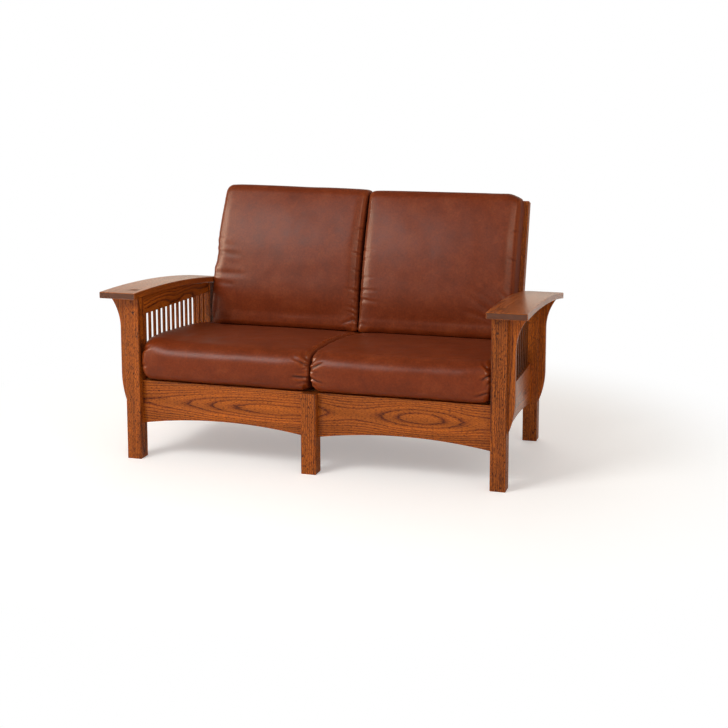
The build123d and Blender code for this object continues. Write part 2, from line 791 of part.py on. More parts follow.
# Back frame
save_pair("back_stile", back_stile())
save("back_centre_stile", back_place * centre_stile(0))
bottom_foot, top_foot = back_rail_feet()
save("back_bottom_rail", housed_back_rail(bottom_foot))
save("back_top_rail", housed_back_rail(top_foot))
save_pair("back_slats", back_place * joined([back_slat(x, 0) for x in back_slat_places()]))
bolts = [bolt(x, z) for x, z in bolt_places()]
washers = [washer(x, z) for x, z in bolt_places()]
save("back_bolts", joined(bolts + [flip_side(piece) for piece in bolts]))
save("back_washers", joined(washers + [flip_side(piece) for piece in washers]))

# Cushions
save_pair("seat_cushion", seat_cushion())
split = -back_cushion_offset
save("back_cushion_right", back_cushion(split + back_cushion_middle_gap, split + back_cushion_half_width))
save("back_cushion_left", back_cushion(split - back_cushion_half_width, split - back_cushion_middle_gap))
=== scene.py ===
"""A two-seat mission settle in stained oak with four loose leather cushions, dressed over its CAD frame."""

import logging
import math
from dataclasses import dataclass, field
from enum import Enum

import bmesh
import bpy
import numpy as np
from mathutils import Matrix, Vector, noise
from mathutils.bvhtree import BVHTree


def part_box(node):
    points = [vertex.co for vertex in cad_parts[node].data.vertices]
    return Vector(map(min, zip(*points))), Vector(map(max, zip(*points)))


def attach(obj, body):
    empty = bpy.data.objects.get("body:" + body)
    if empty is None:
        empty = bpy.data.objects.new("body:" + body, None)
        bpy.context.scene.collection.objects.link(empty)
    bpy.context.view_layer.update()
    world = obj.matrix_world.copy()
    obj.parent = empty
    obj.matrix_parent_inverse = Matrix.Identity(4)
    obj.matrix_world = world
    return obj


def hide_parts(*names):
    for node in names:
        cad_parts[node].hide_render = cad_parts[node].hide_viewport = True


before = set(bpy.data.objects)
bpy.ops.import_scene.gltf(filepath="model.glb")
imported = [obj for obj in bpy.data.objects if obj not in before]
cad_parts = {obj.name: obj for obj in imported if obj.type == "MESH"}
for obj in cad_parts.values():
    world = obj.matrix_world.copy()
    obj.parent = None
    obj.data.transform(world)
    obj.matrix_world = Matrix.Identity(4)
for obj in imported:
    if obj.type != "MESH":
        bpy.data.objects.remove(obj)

Point = tuple[float, float, float]
Pair = tuple[float, float]
Tree = bpy.types.NodeTree
Node = bpy.types.Node
Socket = bpy.types.NodeSocket
MM = 0.001
FILL_FRAMES = 20
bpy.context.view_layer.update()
log = logging.getLogger("settle")


def colour(code: str) -> tuple[float, float, float, float]:
    """Turns an sRGB hex value into a linear colour.

    Args:
        code: six hex digits after a hash sign.

    Returns:
        Linear red, green, blue and an alpha of one.
    """
    parts = [int(code[i:i + 2], 16) / 255 for i in (1, 3, 5)]
    return (*(c / 12.92 if c <= 0.04045 else ((c + 0.055) / 1.055) ** 2.4 for c in parts), 1.0)


def add(tree: Tree, kind: str, settings: dict | None = None,
        inputs: dict | None = None, stops: list | None = None) -> Node:
    """Adds one shader node.

    Args:
        tree: the node tree that gets the node.
        kind: the node's type without its ShaderNode prefix.
        settings: the node's own fields.
        inputs: a value or an output socket for each input, by name or number.
        stops: position and colour of each stop, for a colour ramp.

    Returns:
        The node.
    """
    made = tree.nodes.new("ShaderNode" + kind)
    for name, value in (settings or {}).items():
        setattr(made, name, value)
    for name, value in (inputs or {}).items():
        if isinstance(value, Socket):
            tree.links.new(value, made.inputs[name])
        else:
            made.inputs[name].default_value = value
    if stops:
        ramp = made.color_ramp.elements
        while len(ramp) < len(stops):
            ramp.new(1.0)
        for element, (place, tint) in zip(ramp, stops):
            element.position, element.color = place, colour(tint)
    return made


def new_material(name: str) -> tuple[bpy.types.Material, Tree, Node]:
    """Makes an empty node material.

    Args:
        name: the finish's plain name.

    Returns:
        The material, its tree and its output node.
    """
    made = bpy.data.materials.new(name)
    made.use_nodes = True
    made.node_tree.nodes.clear()
    return made, made.node_tree, add(made.node_tree, "OutputMaterial")


class Grain(Enum):
    """The way a board's grain runs, as a direction in the row frame."""

    ACROSS = (1.0, 0.0, 0.0)
    DEPTH = (0.0, 1.0, 0.0)
    UPRIGHT = (0.0, 0.0, 1.0)
    LEANING = (0.0, math.sin(math.radians(17)), math.cos(math.radians(17)))


@dataclass(frozen=True)
class Arch:
    """A slow bow of the trunk along a board, which draws nested ovals where the heart comes nearest."""

    rise_mm: float = 0.0
    length_mm: float = 500.0
    place_mm: float = 0.0


@dataclass(frozen=True)
class Spots:
    """An uneven pattern of soft spots on a board, by their size along and across the grain."""

    along_mm: float
    across_mm: float
    detail: float
    roughness: float

    def draw(self, tree: Tree, board: Socket) -> Node:
        """Adds the pattern to a material.

        Args:
            tree: the material's nodes.
            board: the place on the board, with x along the grain.

        Returns:
            The pattern's node.
        """
        along, across = 1 / (self.along_mm * MM), 1 / (self.across_mm * MM)
        spread = add(tree, "VectorMath", {"operation": "MULTIPLY"}, {0: board, 1: (along, across, across)})
        return add(tree, "TexNoise", None, {
            "Vector": spread.outputs[0], "Scale": 1.0, "Detail": self.detail, "Roughness": self.roughness})


@dataclass(frozen=True)
class Oak:
    """Flat-sawn red oak, wiped with a medium brown stain and sealed with satin lacquer.

    The stain settles in the open early wood and in the pores, so each year shows a dark edge on gold, and the
    thin lacquer adds a low sheen. The heart is the tree's middle, and the grain is tilted a little off the
    board's length. Tone, pores in the late wood and streaks in the stain differ from board to board, and on
    boards that stand in shade a lower tone is painted shade.
    """

    name: str
    grain: Grain
    heart: Point
    tilt: Point = (0.0, 0.0, 0.0)
    ring_mm: float = 6.0
    wander_mm: float = 26.0
    arch: Arch = Arch()
    # a lower tone darkens the whole board; on some boards it is painted shade
    tone: float = 1.0
    end_dark: float = 0.85
    coat: float = 0.08
    late_pores: float = 0.6
    streaky: float = 0.19
    early: str = "#5e280a"
    middle: str = "#a24d12"
    late: str = "#be6218"
    pore: str = "#35150a"
    end: str = "#44200d"
    fat_years: float = 1.8
    frayed: float = 0.5
    # the trunk bends slowly, and its fibres fray each ring's edge
    bends: Spots = Spots(312.5, 200.0, 2.0, 0.45)
    fibres: Spots = Spots(62.5, 1000 / 420, 2.0, 0.6)
    # pores are 0.3 mm wide in real oak, and drawn 1 mm wide and 10 mm long so that they show
    pores: Spots = Spots(1000 / 95, 1000 / 1080, 1.0, 0.5)
    # the stain takes unevenly, in streaks about 30 mm wide and most of the board long
    streaks: Spots = Spots(1000 / 2.2, 1000 / 34, 3.0, 0.55)

    def lay_in_tree(self, tree: Tree) -> Socket:
        """Finds the place in the tree, with x along the trunk and the heart as origin.

        Args:
            tree: the material's nodes.

        Returns:
            The place.
        """
        way = Vector(self.grain.value) + Vector(self.tilt)
        turned = Vector((1, 0, 0)).rotation_difference(way.normalized()).to_euler()
        place = add(tree, "TexCoord").outputs["Object"]
        return add(tree, "Mapping", {"vector_type": "TEXTURE"},
                   {"Vector": place, "Location": self.heart, "Rotation": turned}).outputs[0]

    def bend_trunk(self, tree: Tree, board: Socket) -> Socket:
        """Bends the trunk: it wanders, which closes some arcs to long ovals, and bows along its arch.

        Args:
            tree: the material's nodes.
            board: the place on the board.

        Returns:
            The place in the bent trunk.
        """
        drift = self.bends.draw(tree, board).outputs["Color"]
        amount = self.wander_mm * MM
        wandered = add(tree, "VectorMath", {"operation": "MULTIPLY_ADD"},
                       {0: drift, 1: (0, amount, amount), 2: board}).outputs[0]
        along = add(tree, "SeparateXYZ", None, {0: board}).outputs["X"]
        turns = add(tree, "Math", {"operation": "MULTIPLY_ADD"}, {
            0: along, 1: 2 * math.pi / (self.arch.length_mm * MM),
            2: -2 * math.pi * self.arch.place_mm / self.arch.length_mm}).outputs[0]
        bow = add(tree, "Math", {"operation": "COSINE"}, {0: turns}).outputs[0]
        lift = add(tree, "Math", {"operation": "MULTIPLY"}, {0: bow, 1: self.arch.rise_mm * MM}).outputs[0]
        lifted = add(tree, "CombineXYZ", None, {"Y": lift}).outputs[0]
        return add(tree, "VectorMath", {"operation": "ADD"}, {0: wandered, 1: lifted}).outputs[0]

    def grow_rings(self, tree: Tree, board: Socket) -> Socket:
        """Draws the rings round the heart, as uneven as good and bad years make them.

        Args:
            tree: the material's nodes.
            board: the place on the board.

        Returns:
            How far a year's growth has come, from nought to one.
        """
        bent = self.bend_trunk(tree, board)
        flat = add(tree, "VectorMath", {"operation": "MULTIPLY"}, {0: bent, 1: (0, 1, 1)}).outputs[0]
        radius = add(tree, "VectorMath", {"operation": "LENGTH"}, {0: flat}).outputs["Value"]
        count = add(tree, "Math", {"operation": "MULTIPLY"},
                    {0: radius, 1: 1 / (self.ring_mm * MM)}).outputs[0]
        years = add(tree, "TexNoise", {"noise_dimensions": "1D"},
                    {"W": count, "Scale": 0.31, "Detail": 1.0}).outputs[0]
        uneven = add(tree, "Math", {"operation": "MULTIPLY_ADD"},
                     {0: years, 1: self.fat_years, 2: count}).outputs[0]
        fray = self.fibres.draw(tree, board).outputs[0]
        edged = add(tree, "Math", {"operation": "MULTIPLY_ADD"},
                    {0: fray, 1: self.frayed, 2: uneven}).outputs[0]
        return add(tree, "Math", {"operation": "FRACT"}, {0: edged}).outputs[0]

    def open_pores(self, tree: Tree, board: Socket, ring: Socket) -> Socket:
        """Draws the open pores, which are thickest in each ring's early wood.

        Args:
            tree: the material's nodes.
            board: the place on the board.
            ring: how far the year's growth has come.

        Returns:
            How dark each pore is.
        """
        spots = self.pores.draw(tree, board).outputs[0]
        opened = add(tree, "MapRange", {"interpolation_type": "SMOOTHSTEP"},
                     {"Value": spots, 1: 0.51, 2: 0.61, 3: 0.0, 4: 1.0}).outputs[0]
        band = add(tree, "MapRange", None,
                   {"Value": ring, 1: 0.08, 2: 0.5, 3: 1.0, 4: self.late_pores}).outputs[0]
        return add(tree, "Math", {"operation": "MULTIPLY"}, {0: opened, 1: band}).outputs[0]

    def stain(self, tree: Tree, board: Socket, ring: Socket, dark: Socket) -> Socket:
        """Colours the rings and pores under the uneven stain.

        Args:
            tree: the material's nodes.
            board: the place on the board.
            ring: how far the year's growth has come.
            dark: how dark each pore is.

        Returns:
            The stained wood's colour.
        """
        grown = add(tree, "ValToRGB", None, {"Fac": ring}, [
            (0.0, self.early), (0.06, self.early), (0.18, self.middle), (0.5, self.late),
            (0.86, self.late), (1.0, self.middle)]).outputs[0]
        pored = add(tree, "Mix", {"data_type": "RGBA"},
                    {0: dark, 6: grown, 7: colour(self.pore)}).outputs[2]
        taken = self.streaks.draw(tree, board).outputs[0]
        shade = add(tree, "MapRange", None, {
            "Value": taken, 1: 0.3, 2: 0.7,
            3: (1.01 - self.streaky) * self.tone, 4: (1.01 + self.streaky) * self.tone}).outputs[0]
        return add(tree, "VectorMath", {"operation": "SCALE"}, {0: pored, "Scale": shade}).outputs[0]

    def darken_ends(self, tree: Tree, tint: Socket) -> Socket:
        """Darkens the end grain, which drinks the stain.

        Args:
            tree: the material's nodes.
            tint: the stained wood's colour.

        Returns:
            The colour with its dark ends.
        """
        normal = add(tree, "TexCoord").outputs["Normal"]
        face = add(tree, "VectorMath", {"operation": "DOT_PRODUCT"},
                   {0: normal, 1: Vector(self.grain.value)}).outputs["Value"]
        cut = add(tree, "Math", {"operation": "ABSOLUTE"}, {0: face}).outputs[0]
        drunk = add(tree, "MapRange", None,
                    {"Value": cut, 1: 0.75, 2: 1.0, 3: 0.0, 4: self.end_dark}).outputs[0]
        return add(tree, "Mix", {"data_type": "RGBA"}, {0: drunk, 6: tint, 7: colour(self.end)}).outputs[2]

    def make(self) -> bpy.types.Material:
        """Builds the board's material: rings round the tree's heart, pores, streaks and lacquer.

        Returns:
            The material.
        """
        made, tree, out = new_material(self.name)
        board = self.lay_in_tree(tree)
        ring = self.grow_rings(tree, board)
        dark = self.open_pores(tree, board, ring)
        body = self.darken_ends(tree, self.stain(tree, board, ring, dark))
        # the lacquer sinks into the pores, which stay rougher, and sharp edges look softly rounded
        rough = add(tree, "MapRange", None, {"Value": dark, 1: 0.0, 2: 1.0, 3: 0.36, 4: 0.6}).outputs[0]
        sunk = add(tree, "Math", {"operation": "MULTIPLY"}, {0: dark, 1: -1.0}).outputs[0]
        soft = add(tree, "Bevel", {"samples": 4}, {"Radius": 1.2 * MM}).outputs[0]
        bump = add(tree, "Bump", None,
                   {"Strength": 0.35, "Distance": 0.25 * MM, "Height": sunk, "Normal": soft}).outputs[0]
        shell = add(tree, "BsdfPrincipled", None, {
            "Base Color": body, "Roughness": rough, "Normal": bump, "IOR": 1.5,
            "Specular IOR Level": 0.2, "Coat Weight": self.coat, "Coat Roughness": 0.2})
        tree.links.new(shell.outputs[0], out.inputs["Surface"])
        return made


@dataclass(frozen=True)
class Leather:
    """Aniline-dyed cowhide over foam: russet brown, semi-gloss, with a soft mottle and fine pebbled grain.

    The dye soaks in unevenly, which clouds the brown, and use rubs the high places smoother. Its colour also
    carries painted shade in the folds' valleys and a painted highlight on the ridges beside them.
    """

    name: str
    seed: float
    smooth: float = 0.37
    deep: str = "#69290d"
    body: str = "#772f0f"
    worn: str = "#823918"
    # painted shade: the folds' valleys are darkened towards this colour; the next colour is a painted highlight
    # on the ridges
    fold: str = "#2c0e05"
    ridge_highlight: str = "#96461d"
    cloud_mm: float = 1000 / 13
    fleck_mm: float = 1000 / 130
    wear_mm: float = 1000 / 26
    # pebbles are about 1 mm on the real hide, and drawn 2.5 mm so that they show
    pebble_mm: float = 2.5

    def dye(self, tree: Tree, hide: Socket, ridge: Socket, valley: Socket) -> Socket:
        """Colours the hide's mottle, with painted shade in the folds and a painted highlight on the ridges.

        Args:
            tree: the material's nodes.
            hide: the place on the hide.
            ridge: how high it stands, which sets its painted highlight.
            valley: how low it lies, which sets its painted shade.

        Returns:
            The colour.
        """
        clouds = add(tree, "TexNoise", None, {
            "Vector": hide, "Scale": 1 / (self.cloud_mm * MM), "Detail": 6.0, "Roughness": 0.66}).outputs[0]
        dyed = add(tree, "ValToRGB", None, {"Fac": clouds}, [
            (0.3, self.deep), (0.5, self.body), (0.72, self.worn)]).outputs[0]
        spots = add(tree, "TexNoise", None, {
            "Vector": hide, "Scale": 1 / (self.fleck_mm * MM), "Detail": 3.0, "Roughness": 0.65}).outputs[0]
        fleck = add(tree, "MapRange", None, {"Value": spots, 1: 0.3, 2: 0.7, 3: 0.8, 4: 1.2}).outputs[0]
        tinted = add(tree, "VectorMath", {"operation": "SCALE"}, {0: dyed, "Scale": fleck}).outputs[0]
        # painted highlight on the ridges, then painted shade in the folds' valleys
        lighter = add(tree, "Mix", {"data_type": "RGBA"},
                      {0: ridge, 6: tinted, 7: colour(self.ridge_highlight)}).outputs[2]
        return add(tree, "Mix", {"data_type": "RGBA"},
                   {0: valley, 6: lighter, 7: colour(self.fold)}).outputs[2]

    def polish(self, tree: Tree, wear: Socket, ridge: Socket) -> Socket:
        """Polishes the hide with wear, most on its ridges and least on the boxing panels at the ends.

        Args:
            tree: the material's nodes.
            wear: how worn each place is.
            ridge: how high it stands.

        Returns:
            The roughness.
        """
        gloss = add(tree, "MapRange", None,
                    {"Value": wear, 1: 0.3, 2: 0.7, 3: self.smooth, 4: self.smooth + 0.08}).outputs[0]
        aside = add(tree, "SeparateXYZ", None, {0: add(tree, "TexCoord").outputs["Normal"]}).outputs["X"]
        boxing = add(tree, "Math", {"operation": "ABSOLUTE"}, {0: aside}).outputs[0]
        matt = add(tree, "MapRange", {"interpolation_type": "SMOOTHSTEP"},
                   {"Value": boxing, 1: 0.6, 2: 0.92, 3: 0.0, 4: 0.36}).outputs[0]
        panel = add(tree, "Math", {"operation": "ADD"}, {0: gloss, 1: matt}).outputs[0]
        return add(tree, "Math", {"operation": "MULTIPLY_ADD"}, {0: ridge, 1: -0.16, 2: panel}).outputs[0]

    def make(self) -> bpy.types.Material:
        """Builds the hide's material: dye mottle, painted shade in the folds, a painted highlight and polish on
        the high places, and pebble grain.

        Returns:
            The material.
        """
        made, tree, out = new_material(self.name)
        place = add(tree, "TexCoord").outputs["Object"]
        hide = add(tree, "Mapping", None, {"Vector": place, "Location": (self.seed, 0.0, 0.0)}).outputs[0]
        height = add(tree, "Attribute", {"attribute_name": "relief"}).outputs["Fac"]
        # the relief sets how much painted highlight a ridge gets and how much painted shade a valley gets
        ridge = add(tree, "MapRange", {"interpolation_type": "SMOOTHSTEP"},
                    {"Value": height, 1: 0.35, 2: 1.5, 3: 0.0, 4: 0.5}).outputs[0]
        valley = add(tree, "MapRange", {"interpolation_type": "SMOOTHSTEP"},
                     {"Value": height, 1: -0.3, 2: -1.5, 3: 0.0, 4: 0.85}).outputs[0]
        wear = add(tree, "TexNoise", None, {
            "Vector": hide, "Scale": 1 / (self.wear_mm * MM), "Detail": 4.0, "Roughness": 0.6}).outputs[0]
        pebble = add(tree, "TexVoronoi", {"feature": "SMOOTH_F1"}, {
            "Vector": hide, "Scale": 1 / (self.pebble_mm * MM), "Smoothness": 0.7,
            "Randomness": 0.9}).outputs["Distance"]
        broad = add(tree, "Bump", None, {"Strength": 0.35, "Distance": 1.2 * MM, "Height": wear}).outputs[0]
        fine = add(tree, "Bump", {"invert": True},
                   {"Strength": 0.3, "Distance": 0.3 * MM, "Height": pebble, "Normal": broad}).outputs[0]
        shell = add(tree, "BsdfPrincipled", None, {
            "Base Color": self.dye(tree, hide, ridge, valley), "Roughness": self.polish(tree, wear, ridge),
            "Normal": fine, "IOR": 1.5, "Specular IOR Level": 0.21})
        tree.links.new(shell.outputs[0], out.inputs["Surface"])
        return made


@dataclass(frozen=True)
class Steel:
    """Mild steel, zinc plated in a drum: cool grey with a soft cloudy sheen."""

    name: str = "zinc plated steel"
    bloom_mm: float = 1000 / 300

    def make(self) -> bpy.types.Material:
        """Builds the plated metal's material.

        Returns:
            The material.
        """
        made, tree, out = new_material(self.name)
        place = add(tree, "TexCoord").outputs["Object"]
        bloom = add(tree, "TexNoise", None,
                    {"Vector": place, "Scale": 1 / (self.bloom_mm * MM), "Detail": 3.0}).outputs[0]
        tint = add(tree, "ValToRGB", None, {"Fac": bloom}, [(0.3, "#8d9092"), (0.7, "#b9bbba")]).outputs[0]
        rough = add(tree, "MapRange", None, {"Value": bloom, 1: 0.3, 2: 0.7, 3: 0.3, 4: 0.46}).outputs[0]
        shell = add(tree, "BsdfPrincipled", None, {"Base Color": tint, "Roughness": rough, "Metallic": 1.0})
        tree.links.new(shell.outputs[0], out.inputs["Surface"])
        return made


def rise(values: np.ndarray | float, low: float, high: float) -> np.ndarray | float:
    """Climbs smoothly from nought at one value to one at another.

    Args:
        values: where to read the climb.
        low: the value at its foot.
        high: the value at its top; it may be the smaller one.

    Returns:
        The climb at each value.
    """
    share = np.clip((values - low) / (high - low), 0, 1)
    return share * share * (3 - 2 * share)


def waves(places: np.ndarray, per_metre: Point, shift: Point = (0.0, 0.0, 0.0)) -> np.ndarray:
    """Reads soft random waves.

    Args:
        places: where to read them, as rows.
        per_metre: how many waves a metre has along each axis.
        shift: how far the pattern is moved, in waves.

    Returns:
        The waves' height at each place, from minus one to one.
    """
    return np.array([noise.noise(Vector(place) + Vector(shift)) for place in places * np.array(per_metre)])


def dress(node_name: str, finish: bpy.types.Material) -> None:
    """Gives a carried-over node its finish.

    Args:
        node_name: the CAD node.
        finish: the material for all its faces.
    """
    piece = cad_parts[node_name]
    for place in piece.material_slots:
        place.material = finish
    if not piece.material_slots:
        piece.data.materials.append(finish)
    log.info("dressed %s in %s", node_name, finish.name)


@dataclass(frozen=True)
class Woodwork:
    """The settle's oak frame: each board has its own place in the tree it was sawn from.

    A leg's heart lies outside one of its corners, and its direction turns by a step, in radians, from leg to
    leg. The arms and the side bottom rails carry more lacquer. The right side's slats, the right front leg and
    the right front apron are darker: painted shade, since the slats stand in the arm's and the cushions'
    shadow and the light falls off to the right.
    """

    leg_heart: float = 0.11
    leg_turn: float = 0.9
    leg_turn_step: float = 1.1
    leg_tone: float = 0.98
    right_leg_painted_shade: float = 0.84
    right_slats_painted_shade: float = 0.33
    arm_coat: float = 0.75
    bottom_rail_coat: float = 1.0
    thin_coat: float = 0.08

    def heart_of(self, node_name: str, aside: Point) -> Point:
        """Places the tree's heart beside a board.

        Args:
            node_name: the board's node.
            aside: how far the heart stands from the board's middle.

        Returns:
            The heart's place.
        """
        low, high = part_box(node_name)
        return tuple((low + high) / 2 + Vector(aside))

    def dress_legs(self) -> None:
        """Finishes the six legs, whose hearts outside a corner give straight grain on their faces."""
        endings = ("_leg_left", "_leg_right", "front_leg", "rear_leg")
        legs = sorted(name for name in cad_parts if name.endswith(endings))
        for number, name in enumerate(legs):
            turn = self.leg_turn + number * self.leg_turn_step
            aside = (self.leg_heart * math.cos(turn), self.leg_heart * math.sin(turn), 0.0)
            # the right front leg is darker: painted shade, as the light falls off to the right
            tone = self.right_leg_painted_shade if name == "front_leg_right" else self.leg_tone
            dress(name, Oak("stained oak " + name, Grain.UPRIGHT, self.heart_of(name, aside),
                            (0.012, -0.01, 0.0), ring_mm=4.6, wander_mm=14, tone=tone, end_dark=0.4,
                            late_pores=1.0, streaky=0.27).make())

    def dress_front_aprons(self) -> None:
        """Finishes the two front boards, whose arches draw the ovals that show in front."""
        boards = {
            "front_apron_left": ((0.0, 0.052, 0.014), Arch(12, 1150, 205), 0.97),
            # the right apron's lower tone is painted shade, as the light falls off to the right
            "front_apron_right": ((0.0, 0.053, 0.022), Arch(7, 520, 70), 0.9),
        }
        for name, (aside, arch, tone) in boards.items():
            dress(name, Oak("stained oak " + name, Grain.ACROSS, self.heart_of(name, aside), (0.0, 0.0, 0.004),
                            wander_mm=13, arch=arch, tone=tone, late_pores=0.72, streaky=0.24).make())

    def dress_boards(self) -> None:
        """Finishes the other boards, each by its grain, its heart's place beside it, its tilt and its rings."""
        level = (0.0, 0.0, 0.0)
        boards = {
            "rear_apron_left": (Grain.ACROSS, (0.0, -0.06, 0.01), (0.0, 0.02, 0.0), 6.0),
            "rear_apron_right": (Grain.ACROSS, (0.0, -0.055, -0.02), (0.0, -0.02, 0.0), 6.0),
            "arm_left": (Grain.DEPTH, (0.075, 0.0, -0.05), (0.0, 0.0, 0.012), 4.5),
            "arm_right": (Grain.DEPTH, (-0.085, 0.0, -0.055), (0.0, 0.0, -0.012), 4.5),
            "side_bottom_rail_left": (Grain.DEPTH, (0.06, 0.0, 0.02), (0.02, 0.0, 0.0), 6.0),
            "side_bottom_rail_right": (Grain.DEPTH, (-0.06, 0.0, 0.01), (0.02, 0.0, 0.0), 6.0),
            "side_top_rail_left": (Grain.DEPTH, (0.07, 0.0, -0.02), (0.012, 0.0, 0.0), 5.0),
            "side_top_rail_right": (Grain.DEPTH, (-0.07, 0.0, -0.02), (0.012, 0.0, 0.0), 5.0),
            "back_top_rail": (Grain.ACROSS, (0.2, -0.06, 0.01), (0.0, 0.012, 0.0), 6.0),
            "back_bottom_rail": (Grain.ACROSS, (-0.1, -0.07, 0.0), (0.0, -0.012, 0.0), 6.0),
            "back_stile_left": (Grain.LEANING, (0.08, -0.05, 0.0), level, 5.0),
            "back_stile_right": (Grain.LEANING, (-0.08, -0.05, 0.0), level, 5.0),
            "back_centre_stile": (Grain.LEANING, (0.03, -0.09, 0.0), level, 5.0),
            "back_slats_left": (Grain.LEANING, (0.5, -0.3, 0.0), (0.004, 0.004, 0.0), 5.0),
            "back_slats_right": (Grain.LEANING, (-0.52, -0.35, 0.0), (0.004, 0.004, 0.0), 5.0),
            "side_slats_left": (Grain.UPRIGHT, (0.3, 0.02, 0.0), (0.006, 0.0, 0.0), 4.5),
            "side_slats_right": (Grain.UPRIGHT, (-0.3, 0.02, 0.0), (0.006, 0.0, 0.0), 4.5),
            "front_corbel_left": (Grain.UPRIGHT, (0.09, 0.06, 0.0), (0.0, 0.01, 0.0), 4.6),
            "front_corbel_right": (Grain.UPRIGHT, (0.03, 0.1, 0.0), (0.0, 0.01, 0.0), 4.6),
            "rear_corbel_left": (Grain.UPRIGHT, (0.09, 0.03, 0.0), (0.0, 0.01, 0.0), 4.6),
            "rear_corbel_right": (Grain.UPRIGHT, (0.02, -0.09, 0.0), (0.0, 0.01, 0.0), 4.6),
        }
        coats = {"arm": self.arm_coat, "side_bottom": self.bottom_rail_coat}
        for name, (grain, aside, tilt, ring) in boards.items():
            # the right side's slats are much darker: painted shade, for the arm's and the cushions' shadow over
            # them
            tone = self.right_slats_painted_shade if name == "side_slats_right" else 1.0
            coat = next((most for start, most in coats.items() if name.startswith(start)), self.thin_coat)
            dress(name, Oak("stained oak " + name, grain, self.heart_of(name, aside), tilt, ring,
                            tone=tone, coat=coat).make())

    def dress_plugs(self) -> None:
        """Finishes the round plugs over the rail screws, which show dark end grain."""
        heart = self.heart_of("rail_plugs", (0.0, 0.0, 0.02))
        dress("rail_plugs", Oak("stained oak plug", Grain.DEPTH, heart, ring_mm=3.0, wander_mm=4,
                                early="#45210f", middle="#6b3819", late="#7c4520").make())

    def dress_deck(self) -> None:
        """Finishes the hidden seat deck in plain oak under one thin coat."""
        plain = {"early": "#8b5c36", "middle": "#b98a5b", "late": "#c99c6b"}
        across = Oak("plain deck oak across", Grain.ACROSS, (0.1, 0.02, 0.18), (0.0, 0.01, 0.01), **plain).make()
        along = Oak("plain deck oak along", Grain.DEPTH, (0.05, 0.0, 0.17), (0.01, 0.0, 0.0), **plain).make()
        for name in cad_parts:
            if name.startswith("seat_slat"):
                dress(name, across)
            elif "bearer" in name or "corner_block" in name:
                dress(name, along)

    def dress_fixings(self) -> None:
        """Finishes the screws, bolts and washers."""
        steel = Steel().make()
        for name in ("rail_screws", "back_bolts", "back_washers"):
            dress(name, steel)

    def make(self) -> None:
        """Finishes the whole frame."""
        self.dress_legs()
        self.dress_front_aprons()
        self.dress_boards()
        self.dress_plugs()
        self.dress_deck()
        self.dress_fixings()


@dataclass(frozen=True)
class Crease:
    """A fold pulled into the front of the hide: a valley with a soft ridge each side, in millimetres.

    It starts deep at a seam, given as places across and up the front, and fades towards its end.
    """

    start: Pair
    end: Pair
    deep: float
    wide: float

    def sink(self, across: np.ndarray, up: np.ndarray) -> np.ndarray:
        """Works out how far the hide goes in.

        Args:
            across: the points' places across the front, in metres.
            up: their places up the front, in metres.

        Returns:
            The depth at each point, in metres.
        """
        start, end = np.array(self.start) * MM, np.array(self.end) * MM
        run = end - start
        offset = np.stack([across, up], axis=1) - start
        along = (offset @ run / (run @ run)).clip(0, 1)
        away = np.linalg.norm(offset - along[:, None] * run, axis=1) / (self.wide * MM)
        return self.deep * MM * (1 - 0.9 * away ** 2) * np.exp(-away ** 2 / 1.5) * (1 - along) ** 0.6


